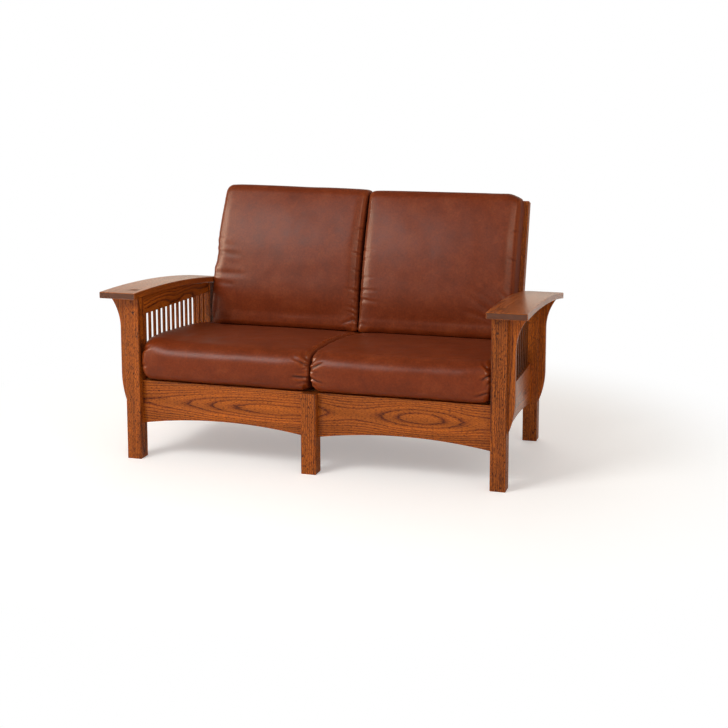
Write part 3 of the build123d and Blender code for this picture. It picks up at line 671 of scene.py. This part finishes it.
@dataclass
class Cushion:
    """A loose foam cushion in a leather cover: a wrapped panel with a sewn boxing panel at each end.

    Its own frame has its rest as origin, x across the settle, and z up through the seat or up the back. The
    two numbers in a call of rise are the places in that frame where a form begins and where it is full.
    slack is what the unfilled cover lacks all round, swell the filling's pressure, cap the furthest that it
    moves a point, tight how near the cover comes to its CAD solid, pucker the strength of the puckers beside
    the seams, evened the rounds of evening, and edge the width beside each end that stays crisp.
    """

    node: str
    body: str
    finish: Leather
    rest: Point = (0.0, 0.0, 0.0)
    lean: float = 0.0
    slack: float = 0.006
    square: float = 0.008
    swell: float = 4.0
    cap: float = 0.022
    tight: float = 0.9
    pucker: float = 1.0
    evened: int = 30
    edge: float = 0.015
    seam: float = 0.012
    skin: float = 0.0002
    creases: tuple[Crease, ...] = ()
    piece: bpy.types.Object = field(init=False)
    room: BVHTree = field(init=False)
    low: np.ndarray = field(init=False)
    high: np.ndarray = field(init=False)
    unfilled: np.ndarray = field(init=False)

    def frame_matrix(self) -> Matrix:
        """The cushion's own frame in the row frame."""
        return Matrix.Translation(self.rest) @ Matrix.Rotation(math.radians(-self.lean), 4, "X")

    def solid(self) -> bpy.types.Mesh:
        """Copies the CAD solid into the cushion's own frame, with its loose triangles joined.

        Returns:
            The copy.
        """
        shell = bmesh.new()
        shell.from_mesh(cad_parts[self.node].data)
        bmesh.ops.remove_doubles(shell, verts=shell.verts, dist=1e-5)
        shell.transform(self.frame_matrix().inverted())
        made = bpy.data.meshes.new(self.node + "_solid")
        shell.to_mesh(made)
        shell.free()
        return made

    def start_shape(self) -> None:
        """Makes the slack cover: the solid a little smaller, in even squares."""
        mesh = self.solid()
        corners = [v.co.copy() for v in mesh.vertices]
        self.room = BVHTree.FromPolygons(corners, [p.vertices[:] for p in mesh.polygons])
        places = np.array(corners)
        self.low, self.high = places.min(0), places.max(0)
        middle, size = (self.low + self.high) / 2, self.high - self.low
        mesh.transform(Matrix.Translation(middle) @ Matrix.Diagonal((*(1 - 2 * self.slack / size), 1.0))
                       @ Matrix.Translation(-Vector(middle)))
        self.piece = bpy.data.objects.new("leather_" + self.node, mesh)
        bpy.context.scene.collection.objects.link(self.piece)
        remade = self.piece.modifiers.new("even", "REMESH")
        remade.mode, remade.voxel_size = "VOXEL", self.square
        self.keep_shape()

    def keep_shape(self) -> None:
        """Applies the piece's live modifiers to its mesh."""
        seen = self.piece.evaluated_get(bpy.context.evaluated_depsgraph_get())
        made = bpy.data.meshes.new_from_object(seen)
        self.piece.modifiers.clear()
        self.piece.data = made

    def fill(self) -> None:
        """Readies the cover to be filled: pressure swells the panels while the seams hold."""
        group = self.piece.vertex_groups.new(name="seams")
        places = self.places()
        aside = np.minimum(places[:, 0] - places[:, 0].min(), places[:, 0].max() - places[:, 0])
        hold = np.exp(-(aside / 0.02) ** 2)
        for number, weight in enumerate(hold):
            if weight > 0.02:
                group.add([number], float(weight), "REPLACE")
        cloth = self.piece.modifiers.new("filling", "CLOTH")
        made = cloth.settings
        made.quality = 5
        made.mass = 0.4
        made.tension_stiffness = made.compression_stiffness = 25
        made.shear_stiffness = 12
        made.bending_stiffness = 4
        made.use_pressure = True
        made.uniform_pressure_force = self.swell
        made.effector_weights.gravity = 0
        made.vertex_group_mass = "seams"
        made.pin_stiffness = 0.6
        cloth.point_cache.frame_start, cloth.point_cache.frame_end = 1, FILL_FRAMES
        self.unfilled = places

    def read(self, name: str) -> np.ndarray:
        """Reads a vector at each of the piece's points.

        Args:
            name: the vector's name in the mesh.

        Returns:
            The vectors, as rows.
        """
        flat = np.empty(len(self.piece.data.vertices) * 3)
        self.piece.data.vertices.foreach_get(name, flat)
        return flat.reshape(-1, 3)

    def places(self) -> np.ndarray:
        """The piece's points, as rows."""
        return self.read("co")

    def normals(self) -> np.ndarray:
        """The piece's outward directions at its points, as rows."""
        return self.read("normal")

    def move_to(self, places: np.ndarray) -> None:
        """Sets the piece's points, given as rows."""
        self.piece.data.vertices.foreach_set("co", places.astype(np.float32).ravel())
        self.piece.data.update()

    def settle(self) -> None:
        """Keeps the filled shape, with no point moved further than the cap, and halves its squares."""
        self.keep_shape()
        went = self.places() - self.unfilled
        far = np.maximum(np.linalg.norm(went, axis=1), 1e-9)
        self.move_to(self.unfilled + went * np.minimum(1, self.cap / far)[:, None])
        finer = self.piece.modifiers.new("finer", "SUBSURF")
        finer.levels = finer.render_levels = 1
        self.keep_shape()

    def inward(self, places: np.ndarray) -> np.ndarray:
        """How far each point is from the nearer end."""
        return np.minimum(places[:, 0] - self.low[0], self.high[0] - places[:, 0])

    def bearing(self, places: np.ndarray) -> np.ndarray:
        """How much each point bears on a neighbour, from nought to one; a kind of cushion gives its own."""
        return np.zeros(len(places))

    def free(self, places: np.ndarray, out: np.ndarray) -> np.ndarray:
        """How far each point may stand out of its solid, in metres; a kind of cushion gives its own."""
        return np.zeros(len(places))

    def puff(self, places: np.ndarray) -> np.ndarray:
        """Each point's last move, where the real cushion bulges or rounds; a kind of cushion gives its own."""
        return np.zeros_like(places)

    def fill_out(self) -> None:
        """Presses the filled cover out to the room that its CAD solid gives it, then evens the hide."""
        self.press(np.full(len(self.piece.data.vertices), self.tight))
        crisp = self.even(10)
        soft = self.even(self.evened)
        inner = rise(self.inward(crisp), self.edge, self.edge + 0.045)[:, None]
        self.move_to(crisp + (soft - crisp) * inner)
        self.press(self.bearing(self.places()))

    def even(self, rounds: int) -> np.ndarray:
        """Evens the hide's squares and gives their places.

        Args:
            rounds: how often each point moves halfway to its neighbours' middle.

        Returns:
            The points' places, as rows.
        """
        evened = self.piece.modifiers.new("evened", "SMOOTH")
        evened.factor, evened.iterations = 0.5, rounds
        self.keep_shape()
        return self.places()

    def press(self, share: np.ndarray) -> None:
        """Moves each point a share of its way to the CAD solid's surface.

        Args:
            share: the share for each point, from nought to one.
        """
        places = self.places()
        for number in np.flatnonzero(share > 0.01):
            spot = self.room.find_nearest(Vector(places[number]))[0]
            places[number] += (np.array(spot) - places[number]) * share[number]
        self.move_to(places)

    def pucker_ends(self, places: np.ndarray) -> np.ndarray:
        """Works out how the hide goes in at the end seams and in the puckers beside them.

        Args:
            places: the piece's points.

        Returns:
            Each point's move outwards, in metres.
        """
        aside = self.inward(places)
        move = -1.5 * MM * np.exp(-((aside - self.seam) / 0.0035) ** 2)
        near = np.flatnonzero(aside < 0.07)
        ripple = waves(places[near], (10, 60, 60))
        patch = waves(places[near], (3, 9, 9), (5, self.finish.seed, 0))
        depth = np.exp(-np.abs(aside[near] - self.seam) / 0.018) * (patch * 2.2 + 0.25).clip(0, 1)
        move[near] -= 2.2 * self.pucker * MM * depth * (1 - np.abs(ripple) * 3.0).clip(0, 1)
        return move

    def sew(self) -> None:
        """Puckers the ends, dents the hide softly as used foam does, and folds each listed crease."""
        places, out = self.places(), self.normals()
        broad = waves(places, (6.5, 6.5, 6.5), (self.finish.seed, 0, 0))
        lumps = waves(places, (17, 17, 17), (0, self.finish.seed, 0))
        move = self.pucker_ends(places) + (1.7 * broad + 0.6 * lumps) * MM
        front = np.clip(-out[:, 1] * 3, 0, 1)
        for fold in self.creases:
            move -= fold.sink(places[:, 0], places[:, 2]) * front
        loose = 1 - self.bearing(places)
        self.move_to(places + out * (move * loose)[:, None])

    def hold_inside(self) -> None:
        """Brings back any point that left the room it has, then adds the last bulges."""
        places, out = self.places(), self.normals()
        most = self.free(places, out) - self.skin
        for number, place in enumerate(places):
            spot, face, _, _ = self.room.find_nearest(Vector(place))
            if (Vector(place) - spot).dot(face) > most[number]:
                places[number] = spot + face * most[number]
        self.move_to(places + self.puff(places))

    def mark_relief(self) -> None:
        """Keeps how far each point stands above or below the hide around it, in millimetres."""
        mesh, places = self.piece.data, self.places()
        ends = np.empty(len(mesh.edges) * 2, dtype=np.int32)
        mesh.edges.foreach_get("vertices", ends)
        here, there = ends[0::2], ends[1::2]
        count = np.bincount(ends, minlength=len(places))
        around = places.copy()
        for _ in range(14):
            for axis in range(3):
                row = around[:, axis].copy()
                total = np.bincount(here, row[there], len(row)) + np.bincount(there, row[here], len(row))
                around[:, axis] = (row + total / count) / 2
        height = ((places - around) * self.normals()).sum(1) / MM
        kept = mesh.attributes.new("relief", "FLOAT", "POINT")
        kept.data.foreach_set("value", height.astype(np.float32))

    def finish_piece(self) -> None:
        self.mark_relief()
        self.piece.data.transform(self.frame_matrix())
        self.piece.data.shade_smooth()
        self.piece.data.materials.clear()
        self.piece.data.materials.append(self.finish.make())
        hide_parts(self.node)
        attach(self.piece, self.body)
        log.info("made %s", self.piece.name)


@dataclass
class SeatCushion(Cushion):
    """A seat cushion on the sloping deck, with a full front that hangs a little over the apron.

    In millimetres: plump is how much fuller the top is at its left and right end, belly how far the front
    bulges at half height, and a corner's two numbers how far it moves inwards and upwards.
    """

    rest: Point = (0.0, -400.77 * MM, 303.5 * MM)
    lean: float = 4.5
    plump: Pair = (0.0, 0.0)
    belly: float = 7.0
    low_corner: Pair = (9.0, 4.0)
    high_corner: Pair = (3.0, -5.0)

    def bearing(self, places: np.ndarray) -> np.ndarray:
        """It bears on the deck, and the back cushion stands on its rear."""
        under = rise(places[:, 2], 0.012, 0.004) * rise(places[:, 1], 0.02, 0.05)
        return np.maximum(under, rise(places[:, 1], 0.44, 0.5))

    def free(self, places: np.ndarray, out: np.ndarray) -> np.ndarray:
        """Its front and the front of its top may swell a little."""
        clear = rise(np.maximum(-out[:, 1], out[:, 2]), 0.3, 0.8) * rise(places[:, 1], 0.44, 0.3)
        return 2.5 * MM * clear * rise(self.inward(places), 0.0, 0.04)

    def puff(self, places: np.ndarray) -> np.ndarray:
        """Bulges its front, rounds its front corners away and fills the ends of its top.

        Args:
            places: the piece's points.

        Returns:
            Each point's move, as rows.
        """
        move, inner, up = np.zeros_like(places), self.inward(places), places[:, 2]
        ends = (places[:, 0] - self.low[0], self.high[0] - places[:, 0])
        front = rise(places[:, 1], 0.07, -0.05)
        bulge = np.sin(np.pi * np.clip(up / 0.165, 0, 1)) ** 1.5
        move[:, 1] -= self.belly * MM * front * bulge * rise(inner, 0.0, 0.11)
        side = np.where(ends[0] < ends[1], 1.0, -1.0)
        corners = ((self.low_corner, rise(up, 0.075, 0.0)), (self.high_corner, rise(up, 0.07, 0.15)))
        for (inwards, upwards), height in corners:
            corner = front * rise(inner, 0.045, 0.0) * height
            move[:, 0] += side * inwards * MM * corner
            move[:, 2] += upwards * MM * corner
        top = rise(up, 0.06, 0.13) * rise(places[:, 1], 0.58, 0.5)
        for amount, end in zip(self.plump, ends):
            move[:, 2] += amount * MM * top * rise(end, 0.13, 0.01)
        return move


@dataclass
class BackCushion(Cushion):
    """A back cushion that stands on the seat cushion's rear and leans on the back frame.

    In millimetres: spread is how far its left end spreads beside the arm, slide how far it lies aside, taper
    how far its left upper corner draws in, lift how far its left and right end stand up, corner_fall how far
    its right upper corner rounds away, and roll how far its front stands out over the fold. tuck is the slope
    of the front below the fold, and stop is where the arm and the leg stop its left end.
    """

    rest: Point = (0.0, 267.43 * MM, 303.0 * MM)
    lean: float = 17.0
    spread: float = 0.0
    slide: float = -7.0
    taper: float = 0.0
    tuck: float = 0.07
    lift: Pair = (0.0, 0.0)
    corner_fall: float = 0.0
    roll: float = 3.0
    roll_height: float = 0.22
    fold_height: float = 0.196
    fold_soft: float = 0.008
    stop: float = -0.6633
    foot_height: float = 0.19

    def bearing(self, places: np.ndarray) -> np.ndarray:
        """It bears on the seat cushion and on the back frame."""
        return np.maximum(rise(places[:, 2], 0.118, 0.106), rise(places[:, 1], -0.012, -0.006))

    def free(self, places: np.ndarray, out: np.ndarray) -> np.ndarray:
        """Its front may swell a little above the seat."""
        return 2.5 * MM * rise(-out[:, 1], 0.3, 0.8) * rise(places[:, 2], 0.14, 0.2)

    def fold_under(self, places: np.ndarray) -> np.ndarray:
        """Rolls the front out above the seat and folds it under below that.

        Args:
            places: the piece's points.

        Returns:
            Each point's move to the back.
        """
        up = places[:, 2]
        front = rise(places[:, 1], -0.05, -0.11) * rise(self.inward(places), 0.0, 0.07)
        rolled = self.roll * MM * np.exp(-((up - self.roll_height) / 0.06) ** 2)
        below = self.fold_soft * np.log1p(np.exp((self.fold_height - up) / self.fold_soft))
        return front * (self.tuck * below - rolled)

    def lie_aside(self, places: np.ndarray, across: np.ndarray) -> np.ndarray:
        """Slides it aside until the arm and the leg stop it, and spreads or draws in its left end.

        Args:
            places: the piece's points.
            across: their share of the way from the left end to the right end.

        Returns:
            Each point's move to the right.
        """
        left, up = places[:, 0], places[:, 2]
        aside = (self.slide + self.taper * (1 - across) ** 2 * rise(up, 0.4, 0.66)) * MM
        outer = rise(left, self.low[0] + 0.1, self.low[0])
        above = rise(up, 0.36, 0.46) * rise(up, 0.72, 0.6)
        corner = rise(places[:, 1], -0.02, -0.09) * rise(up, 0.12, 0.17) * rise(up, 0.36, 0.29)
        moved = left + aside - self.spread * MM * outer * (above + 2 * corner)
        # above the arm it has 30 mm more room
        return np.maximum(moved, self.stop - 0.03 * rise(up, 0.335, 0.4)) - left

    def puff(self, places: np.ndarray) -> np.ndarray:
        """Folds its front under, lays it aside, lifts its ends and rounds its right upper corner.

        Args:
            places: the piece's points.

        Returns:
            Each point's move, as rows.
        """
        up = places[:, 2]
        across = (places[:, 0] - self.low[0]) / (self.high[0] - self.low[0])
        corner = rise(self.high[0] - places[:, 0], 0.07, 0.0) * rise(self.high[2] - up, 0.08, 0.0)
        fall = self.corner_fall * MM * corner
        lifted = (self.lift[0] * (1 - across) + self.lift[1] * across) * MM * rise(up, 0.3, 0.62)
        aside = self.lie_aside(places, across) - 0.6 * fall
        return np.stack([aside, self.fold_under(places), lifted - fall], axis=1)

    def stand_on(self, seats: list[bpy.types.Object]) -> None:
        """Lets the foot spread until it bears on the seat cushions along its whole width.

        Args:
            seats: the finished seat cushions.
        """
        into = self.frame_matrix().inverted()
        corners, faces = [], []
        for seat in seats:
            first = len(corners)
            corners += [into @ v.co for v in seat.data.vertices]
            faces += [[first + n for n in p.vertices] for p in seat.data.polygons]
        below = BVHTree.FromPolygons(corners, faces)
        places, inset, kept_gap = self.places(), 0.02, 0.4 * MM
        for number in np.flatnonzero(places[:, 2] < self.foot_height):
            left, y, z = places[number]
            x = min(max(left - self.slide * MM, self.low[0] + inset), self.high[0] - inset)
            own = self.room.ray_cast(Vector((x, y, -0.1)), Vector((0, 0, 1)))[0]
            if own is None:
                continue
            met = below.ray_cast(own, Vector((0, 0, -1)))[0]
            if met is None:
                continue
            # the ends reach down a little further, and nothing reaches into a wide gap
            gap = own.z - met.z
            furthest = 0.009 + 0.008 * rise(min(left - self.low[0], self.high[0] - left), 0.06, 0.0)
            drop = min(max(gap - kept_gap, 0.0), furthest) * rise(gap, 0.045, 0.018)
            places[number, 2] -= drop * rise(z - own.z, 0.07, 0.0)
        self.move_to(places)


SEAT_LEFT_CREASES = (
    Crease((-2, 100), (-66, 126), 5.6, 6.0),
    Crease((-2, 90), (-44, 84), 3.4, 5.0),
    Crease((-2, 118), (-40, 146), 3.6, 7.5),
    Crease((-2, 55), (-74, 58), 5.2, 6.0),
    Crease((-2, 36), (-60, 30), 4.0, 7.0),
    Crease((-22, 74), (-50, 78), 1.8, 8.0),
    Crease((-668, 112), (-626, 128), 3.4, 7.0),
    Crease((-668, 56), (-640, 60), 2.6, 6.5),
)
SEAT_RIGHT_CREASES = (
    Crease((2, 88), (62, 116), 5.4, 6.0),
    Crease((2, 80), (48, 74), 3.4, 5.0),
    Crease((2, 110), (40, 144), 3.8, 7.5),
    Crease((2, 52), (72, 36), 5.2, 6.0),
    Crease((2, 34), (46, 12), 3.6, 7.0),
    Crease((24, 64), (54, 58), 1.8, 8.0),
    Crease((672, 118), (630, 146), 5.0, 7.0),
    Crease((672, 104), (632, 84), 5.6, 6.0),
    Crease((672, 84), (650, 60), 3.0, 5.5),
    Crease((672, 44), (604, 26), 5.2, 6.5),
    Crease((672, 60), (646, 56), 2.6, 6.0),
)
BACK_LEFT_CREASES = (
    Crease((-650, 384), (-530, 370), 2.2, 13),
    Crease((-650, 414), (-560, 409), 1.6, 12),
    Crease((-650, 295), (-500, 292), 2.4, 14),
    Crease((-650, 258), (-545, 246), 1.9, 12),
    Crease((-650, 452), (-590, 446), 1.2, 9),
    Crease((-650, 112), (-600, 100), 1.6, 7),
    Crease((-12, 507), (-46, 505), 2.4, 6),
    Crease((-12, 452), (-38, 455), 1.6, 5.5),
    Crease((-12, 399), (-50, 403), 2.4, 6),
    Crease((-12, 330), (-40, 334), 1.8, 6),
    Crease((-12, 247), (-54, 252), 2.6, 7),
    Crease((-12, 206), (-42, 214), 1.8, 6),
    Crease((-12, 172), (-60, 182), 2.0, 7),
    Crease((-14, 150), (-52, 163), 2.2, 6),
    Crease((-12, 135), (-78, 116), 3.6, 7),
    Crease((-12, 110), (-90, 93), 3.6, 7),
    Crease((-12, 88), (-70, 78), 3.0, 6),
)
BACK_RIGHT_CREASES = (
    Crease((-3, 422), (54, 418), 1.8, 7),
    Crease((-3, 380), (46, 384), 1.4, 6),
    Crease((-3, 300), (62, 305), 1.2, 7),
    Crease((-3, 252), (76, 249), 2.0, 8),
    Crease((-3, 213), (86, 203), 2.0, 8),
    Crease((-3, 122), (44, 112), 2.0, 6),
    Crease((-3, 98), (72, 82), 2.6, 6),
    Crease((562, 180), (430, 262), 2.0, 12),
    Crease((577, 214), (465, 285), 1.5, 10),
    Crease((562, 150), (420, 196), 1.8, 12),
    Crease((602, 250), (520, 330), 1.3, 10),
    Crease((636, 520), (600, 515), 1.4, 7),
    Crease((636, 400), (603, 402), 1.4, 7),
)


@dataclass(frozen=True)
class Upholstery:
    """The four loose cushions. The seats are glossier than the backs and evened for longer."""

    seat_smooth: float = 0.31
    seat_evened: int = 44
    seat_pucker: float = 0.4
    back_pucker: float = 0.35

    def seats(self) -> list[SeatCushion]:
        """Lists the two seat cushions, with their outer ends a little fuller.

        Returns:
            The left and the right one.
        """
        hides = (Leather("russet cowhide seat left", 1.3, self.seat_smooth),
                 Leather("russet cowhide seat right", 7.9, self.seat_smooth))
        alike = {"pucker": self.seat_pucker, "evened": self.seat_evened}
        return [
            SeatCushion("seat_cushion_left", "seat_left", hides[0],
                        creases=SEAT_LEFT_CREASES, plump=(10.0, 0.0), **alike),
            SeatCushion("seat_cushion_right", "seat_right", hides[1],
                        creases=SEAT_RIGHT_CREASES, plump=(0.0, 6.0), **alike),
        ]

    def backs(self) -> list[BackCushion]:
        """Lists the two back cushions, with their outer upper corners drawn in.

        Returns:
            The left and the right one.
        """
        return [
            BackCushion("back_cushion_left", "back_left", Leather("russet cowhide back left", 4.1),
                        pucker=self.back_pucker, creases=BACK_LEFT_CREASES,
                        spread=6.0, taper=11.0, tuck=0.055, lift=(12.0, 4.0)),
            BackCushion("back_cushion_right", "back_right", Leather("russet cowhide back right", 11.7),
                        pucker=self.back_pucker, creases=BACK_RIGHT_CREASES, tuck=0.03, corner_fall=14.0),
        ]

    def make(self) -> None:
        """Builds, fills, sews and places the cushions."""
        seats = self.seats()
        cushions = seats + self.backs()
        for cushion in cushions:
            cushion.start_shape()
            cushion.fill()
        for step in range(1, FILL_FRAMES + 1):
            bpy.context.scene.frame_set(step)
        for cushion in cushions:
            cushion.settle()
            cushion.fill_out()
            cushion.sew()
            cushion.hold_inside()
            if isinstance(cushion, BackCushion):
                cushion.stand_on([seat.piece for seat in seats])
            cushion.finish_piece()
        bpy.context.scene.frame_set(1)


class Shown(Enum):
    """What a lamp does: whether it lights surfaces, and whether glossy ones mirror it."""

    BOTH = (True, True)
    LIGHT = (True, False)
    SHINE = (False, True)


@dataclass(frozen=True)
class Lamp:
    """A soft rectangular lamp: its place, its width and height, its power in watts and its tint."""

    name: str
    place: Point
    size: Pair
    power: float
    shown: Shown = Shown.BOTH
    tint: str = "#ffffff"
    aim: Point = (0.0, 0.0, 0.4)

    def hang(self) -> None:
        """Hangs the lamp so that it points at the settle."""
        made = bpy.data.lights.new(self.name, "AREA")
        made.shape = "RECTANGLE"
        made.size, made.size_y = self.size
        made.energy = self.power
        made.color = colour(self.tint)[:3]
        lamp = bpy.data.objects.new(self.name, made)
        bpy.context.scene.collection.objects.link(lamp)
        lamp.location = self.place
        lamp.visible_diffuse, lamp.visible_glossy = self.shown.value
        lamp.rotation_euler = (Vector(self.aim) - Vector(self.place)).to_track_quat("-Z", "Y").to_euler()


@dataclass(frozen=True)
class Studio:
    """A pale room with soft light from the left and front, and the photograph's camera.

    The focal length is in pixels of the photograph. The two strips show only in reflections. The floor glows
    a little for the camera alone, and turns plain white further out.
    """

    eye: Point = (1.5249, -4.8122, 1.4553)
    yaw: float = 16.755
    pitch: float = 7.901
    roll: float = -0.027
    focal_pixels: float = 1296.4
    photo_pixels: float = 728
    sensor_mm: float = 36
    rise: float = -0.15
    lamps: tuple[Lamp, ...] = (
        Lamp("key", (-2.2, -3.6, 3.75), (2.1, 1.9), 134),
        Lamp("fill", (3.2, -2.6, 1.7), (1.8, 1.8), 15, Shown.LIGHT),
        Lamp("rear", (-0.6, 3.4, 2.9), (2.4, 2.4), 30, Shown.LIGHT),
        Lamp("left strip", (-3.3, -1.4, 1.8), (0.45, 2.2), 230, Shown.SHINE, "#ffe3c8"),
        Lamp("right strip", (2.8, -3.8, 3.9), (0.45, 2.2), 180, Shown.SHINE, "#ffe3c8"),
    )
    room_light: float = 0.45
    wall_light: float = 0.9
    ceiling_light: float = 0.14
    floor_glow: float = 0.32
    floor_fade: Pair = (1.0, 1.9)

    def set_camera(self) -> None:
        """Stands the camera where the photograph was taken from."""
        made = bpy.data.cameras.new("camera")
        made.sensor_width = self.sensor_mm
        made.lens = self.focal_pixels * self.sensor_mm / self.photo_pixels
        made.shift_y = self.rise
        made.clip_end = 100
        camera = bpy.data.objects.new("camera", made)
        bpy.context.scene.collection.objects.link(camera)
        turns = ((self.yaw, "Z"), (90 - self.pitch, "X"), (self.roll, "Z"))
        yawed, pitched, rolled = (Matrix.Rotation(math.radians(angle), 4, axis) for angle, axis in turns)
        camera.matrix_world = Matrix.Translation(self.eye) @ yawed @ pitched @ rolled
        bpy.context.scene.camera = camera

    def set_world(self) -> None:
        """Makes the surroundings white to the eye, warm white in reflections and a soft light elsewhere."""
        world = bpy.data.worlds.new("studio")
        bpy.context.scene.world = world
        world.use_nodes = True
        tree = world.node_tree
        tree.nodes.clear()
        seen = add(tree, "LightPath").outputs
        viewed = add(tree, "Math", {"operation": "MAXIMUM"},
                     {0: seen["Is Camera Ray"], 1: seen["Is Transmission Ray"]}).outputs[0]
        level = add(tree, "Mix", {"data_type": "FLOAT"}, {0: viewed, 2: self.room_light, 3: 1.0}).outputs[0]
        # reflections show warm white walls up to head height and a dim ceiling
        high = add(tree, "SeparateXYZ", None, {0: add(tree, "TexCoord").outputs["Generated"]}).outputs["Z"]
        walls = add(tree, "MapRange", {"interpolation_type": "SMOOTHSTEP"},
                    {"Value": high, 1: 0.12, 2: 0.5, 3: self.wall_light, 4: self.ceiling_light}).outputs[0]
        strength = add(tree, "Mix", {"data_type": "FLOAT"},
                       {0: seen["Is Glossy Ray"], 2: level, 3: walls}).outputs[0]
        warm = add(tree, "Mix", {"data_type": "RGBA"},
                   {0: viewed, 6: colour("#fff8ee"), 7: colour("#ffffff")}).outputs[2]
        lined = add(tree, "Mix", {"data_type": "RGBA"},
                    {0: seen["Is Glossy Ray"], 6: warm, 7: colour("#ffeedb")}).outputs[2]
        sky = add(tree, "Background", None, {"Color": lined, "Strength": strength})
        tree.links.new(sky.outputs[0], add(tree, "OutputWorld").inputs["Surface"])

    def paint_floor(self) -> bpy.types.Material:
        """Mixes matt white paint, which keeps the settle's shadow and fades to plain white away from it.

        Returns:
            The material.
        """
        made, tree, out = new_material("painted studio floor")
        place = add(tree, "TexCoord").outputs["Object"]
        away = add(tree, "VectorMath", {"operation": "LENGTH"}, {0: place}).outputs["Value"]
        near, far = self.floor_fade
        fade = add(tree, "MapRange", {"interpolation_type": "SMOOTHSTEP"},
                   {"Value": away, 1: near, 2: far, 3: 0.0, 4: 1.0}).outputs[0]
        seen = add(tree, "LightPath").outputs["Is Camera Ray"]
        plain = add(tree, "Math", {"operation": "MULTIPLY"}, {0: fade, 1: seen}).outputs[0]
        paint = add(tree, "BsdfDiffuse", None, {"Color": colour("#f6f4f1")}).outputs[0]
        lift = add(tree, "Math", {"operation": "MULTIPLY"}, {0: seen, 1: self.floor_glow}).outputs[0]
        glow = add(tree, "Emission", None, {"Color": colour("#fdfdff"), "Strength": lift}).outputs[0]
        lifted = add(tree, "AddShader", None, {0: paint, 1: glow}).outputs[0]
        white = add(tree, "Emission", None, {"Color": colour("#ffffff"), "Strength": 1.0}).outputs[0]
        mixed = add(tree, "MixShader", None, {0: plain, 1: lifted, 2: white}).outputs[0]
        tree.links.new(mixed, out.inputs["Surface"])
        return made

    def lay_floor(self) -> None:
        """Lays the painted floor."""
        shell = bmesh.new()
        bmesh.ops.create_grid(shell, x_segments=1, y_segments=1, size=20)
        mesh = bpy.data.meshes.new("floor")
        shell.to_mesh(mesh)
        shell.free()
        floor = bpy.data.objects.new("floor", mesh)
        floor.data.materials.append(self.paint_floor())
        bpy.context.scene.collection.objects.link(floor)

    def make(self) -> None:
        """Sets up the camera, the room and its lamps."""
        self.set_camera()
        self.set_world()
        self.lay_floor()
        for lamp in self.lamps:
            lamp.hang()
        bpy.context.scene.view_settings.view_transform = "Standard"


def main() -> None:
    """Builds the scene in order: camera and room, woodwork, cushions."""
    Studio().make()
    Woodwork().make()
    Upholstery().make()


if __name__ == "__main__":
    logging.basicConfig(level=logging.INFO, format="%(name)s: %(message)s")
    main()
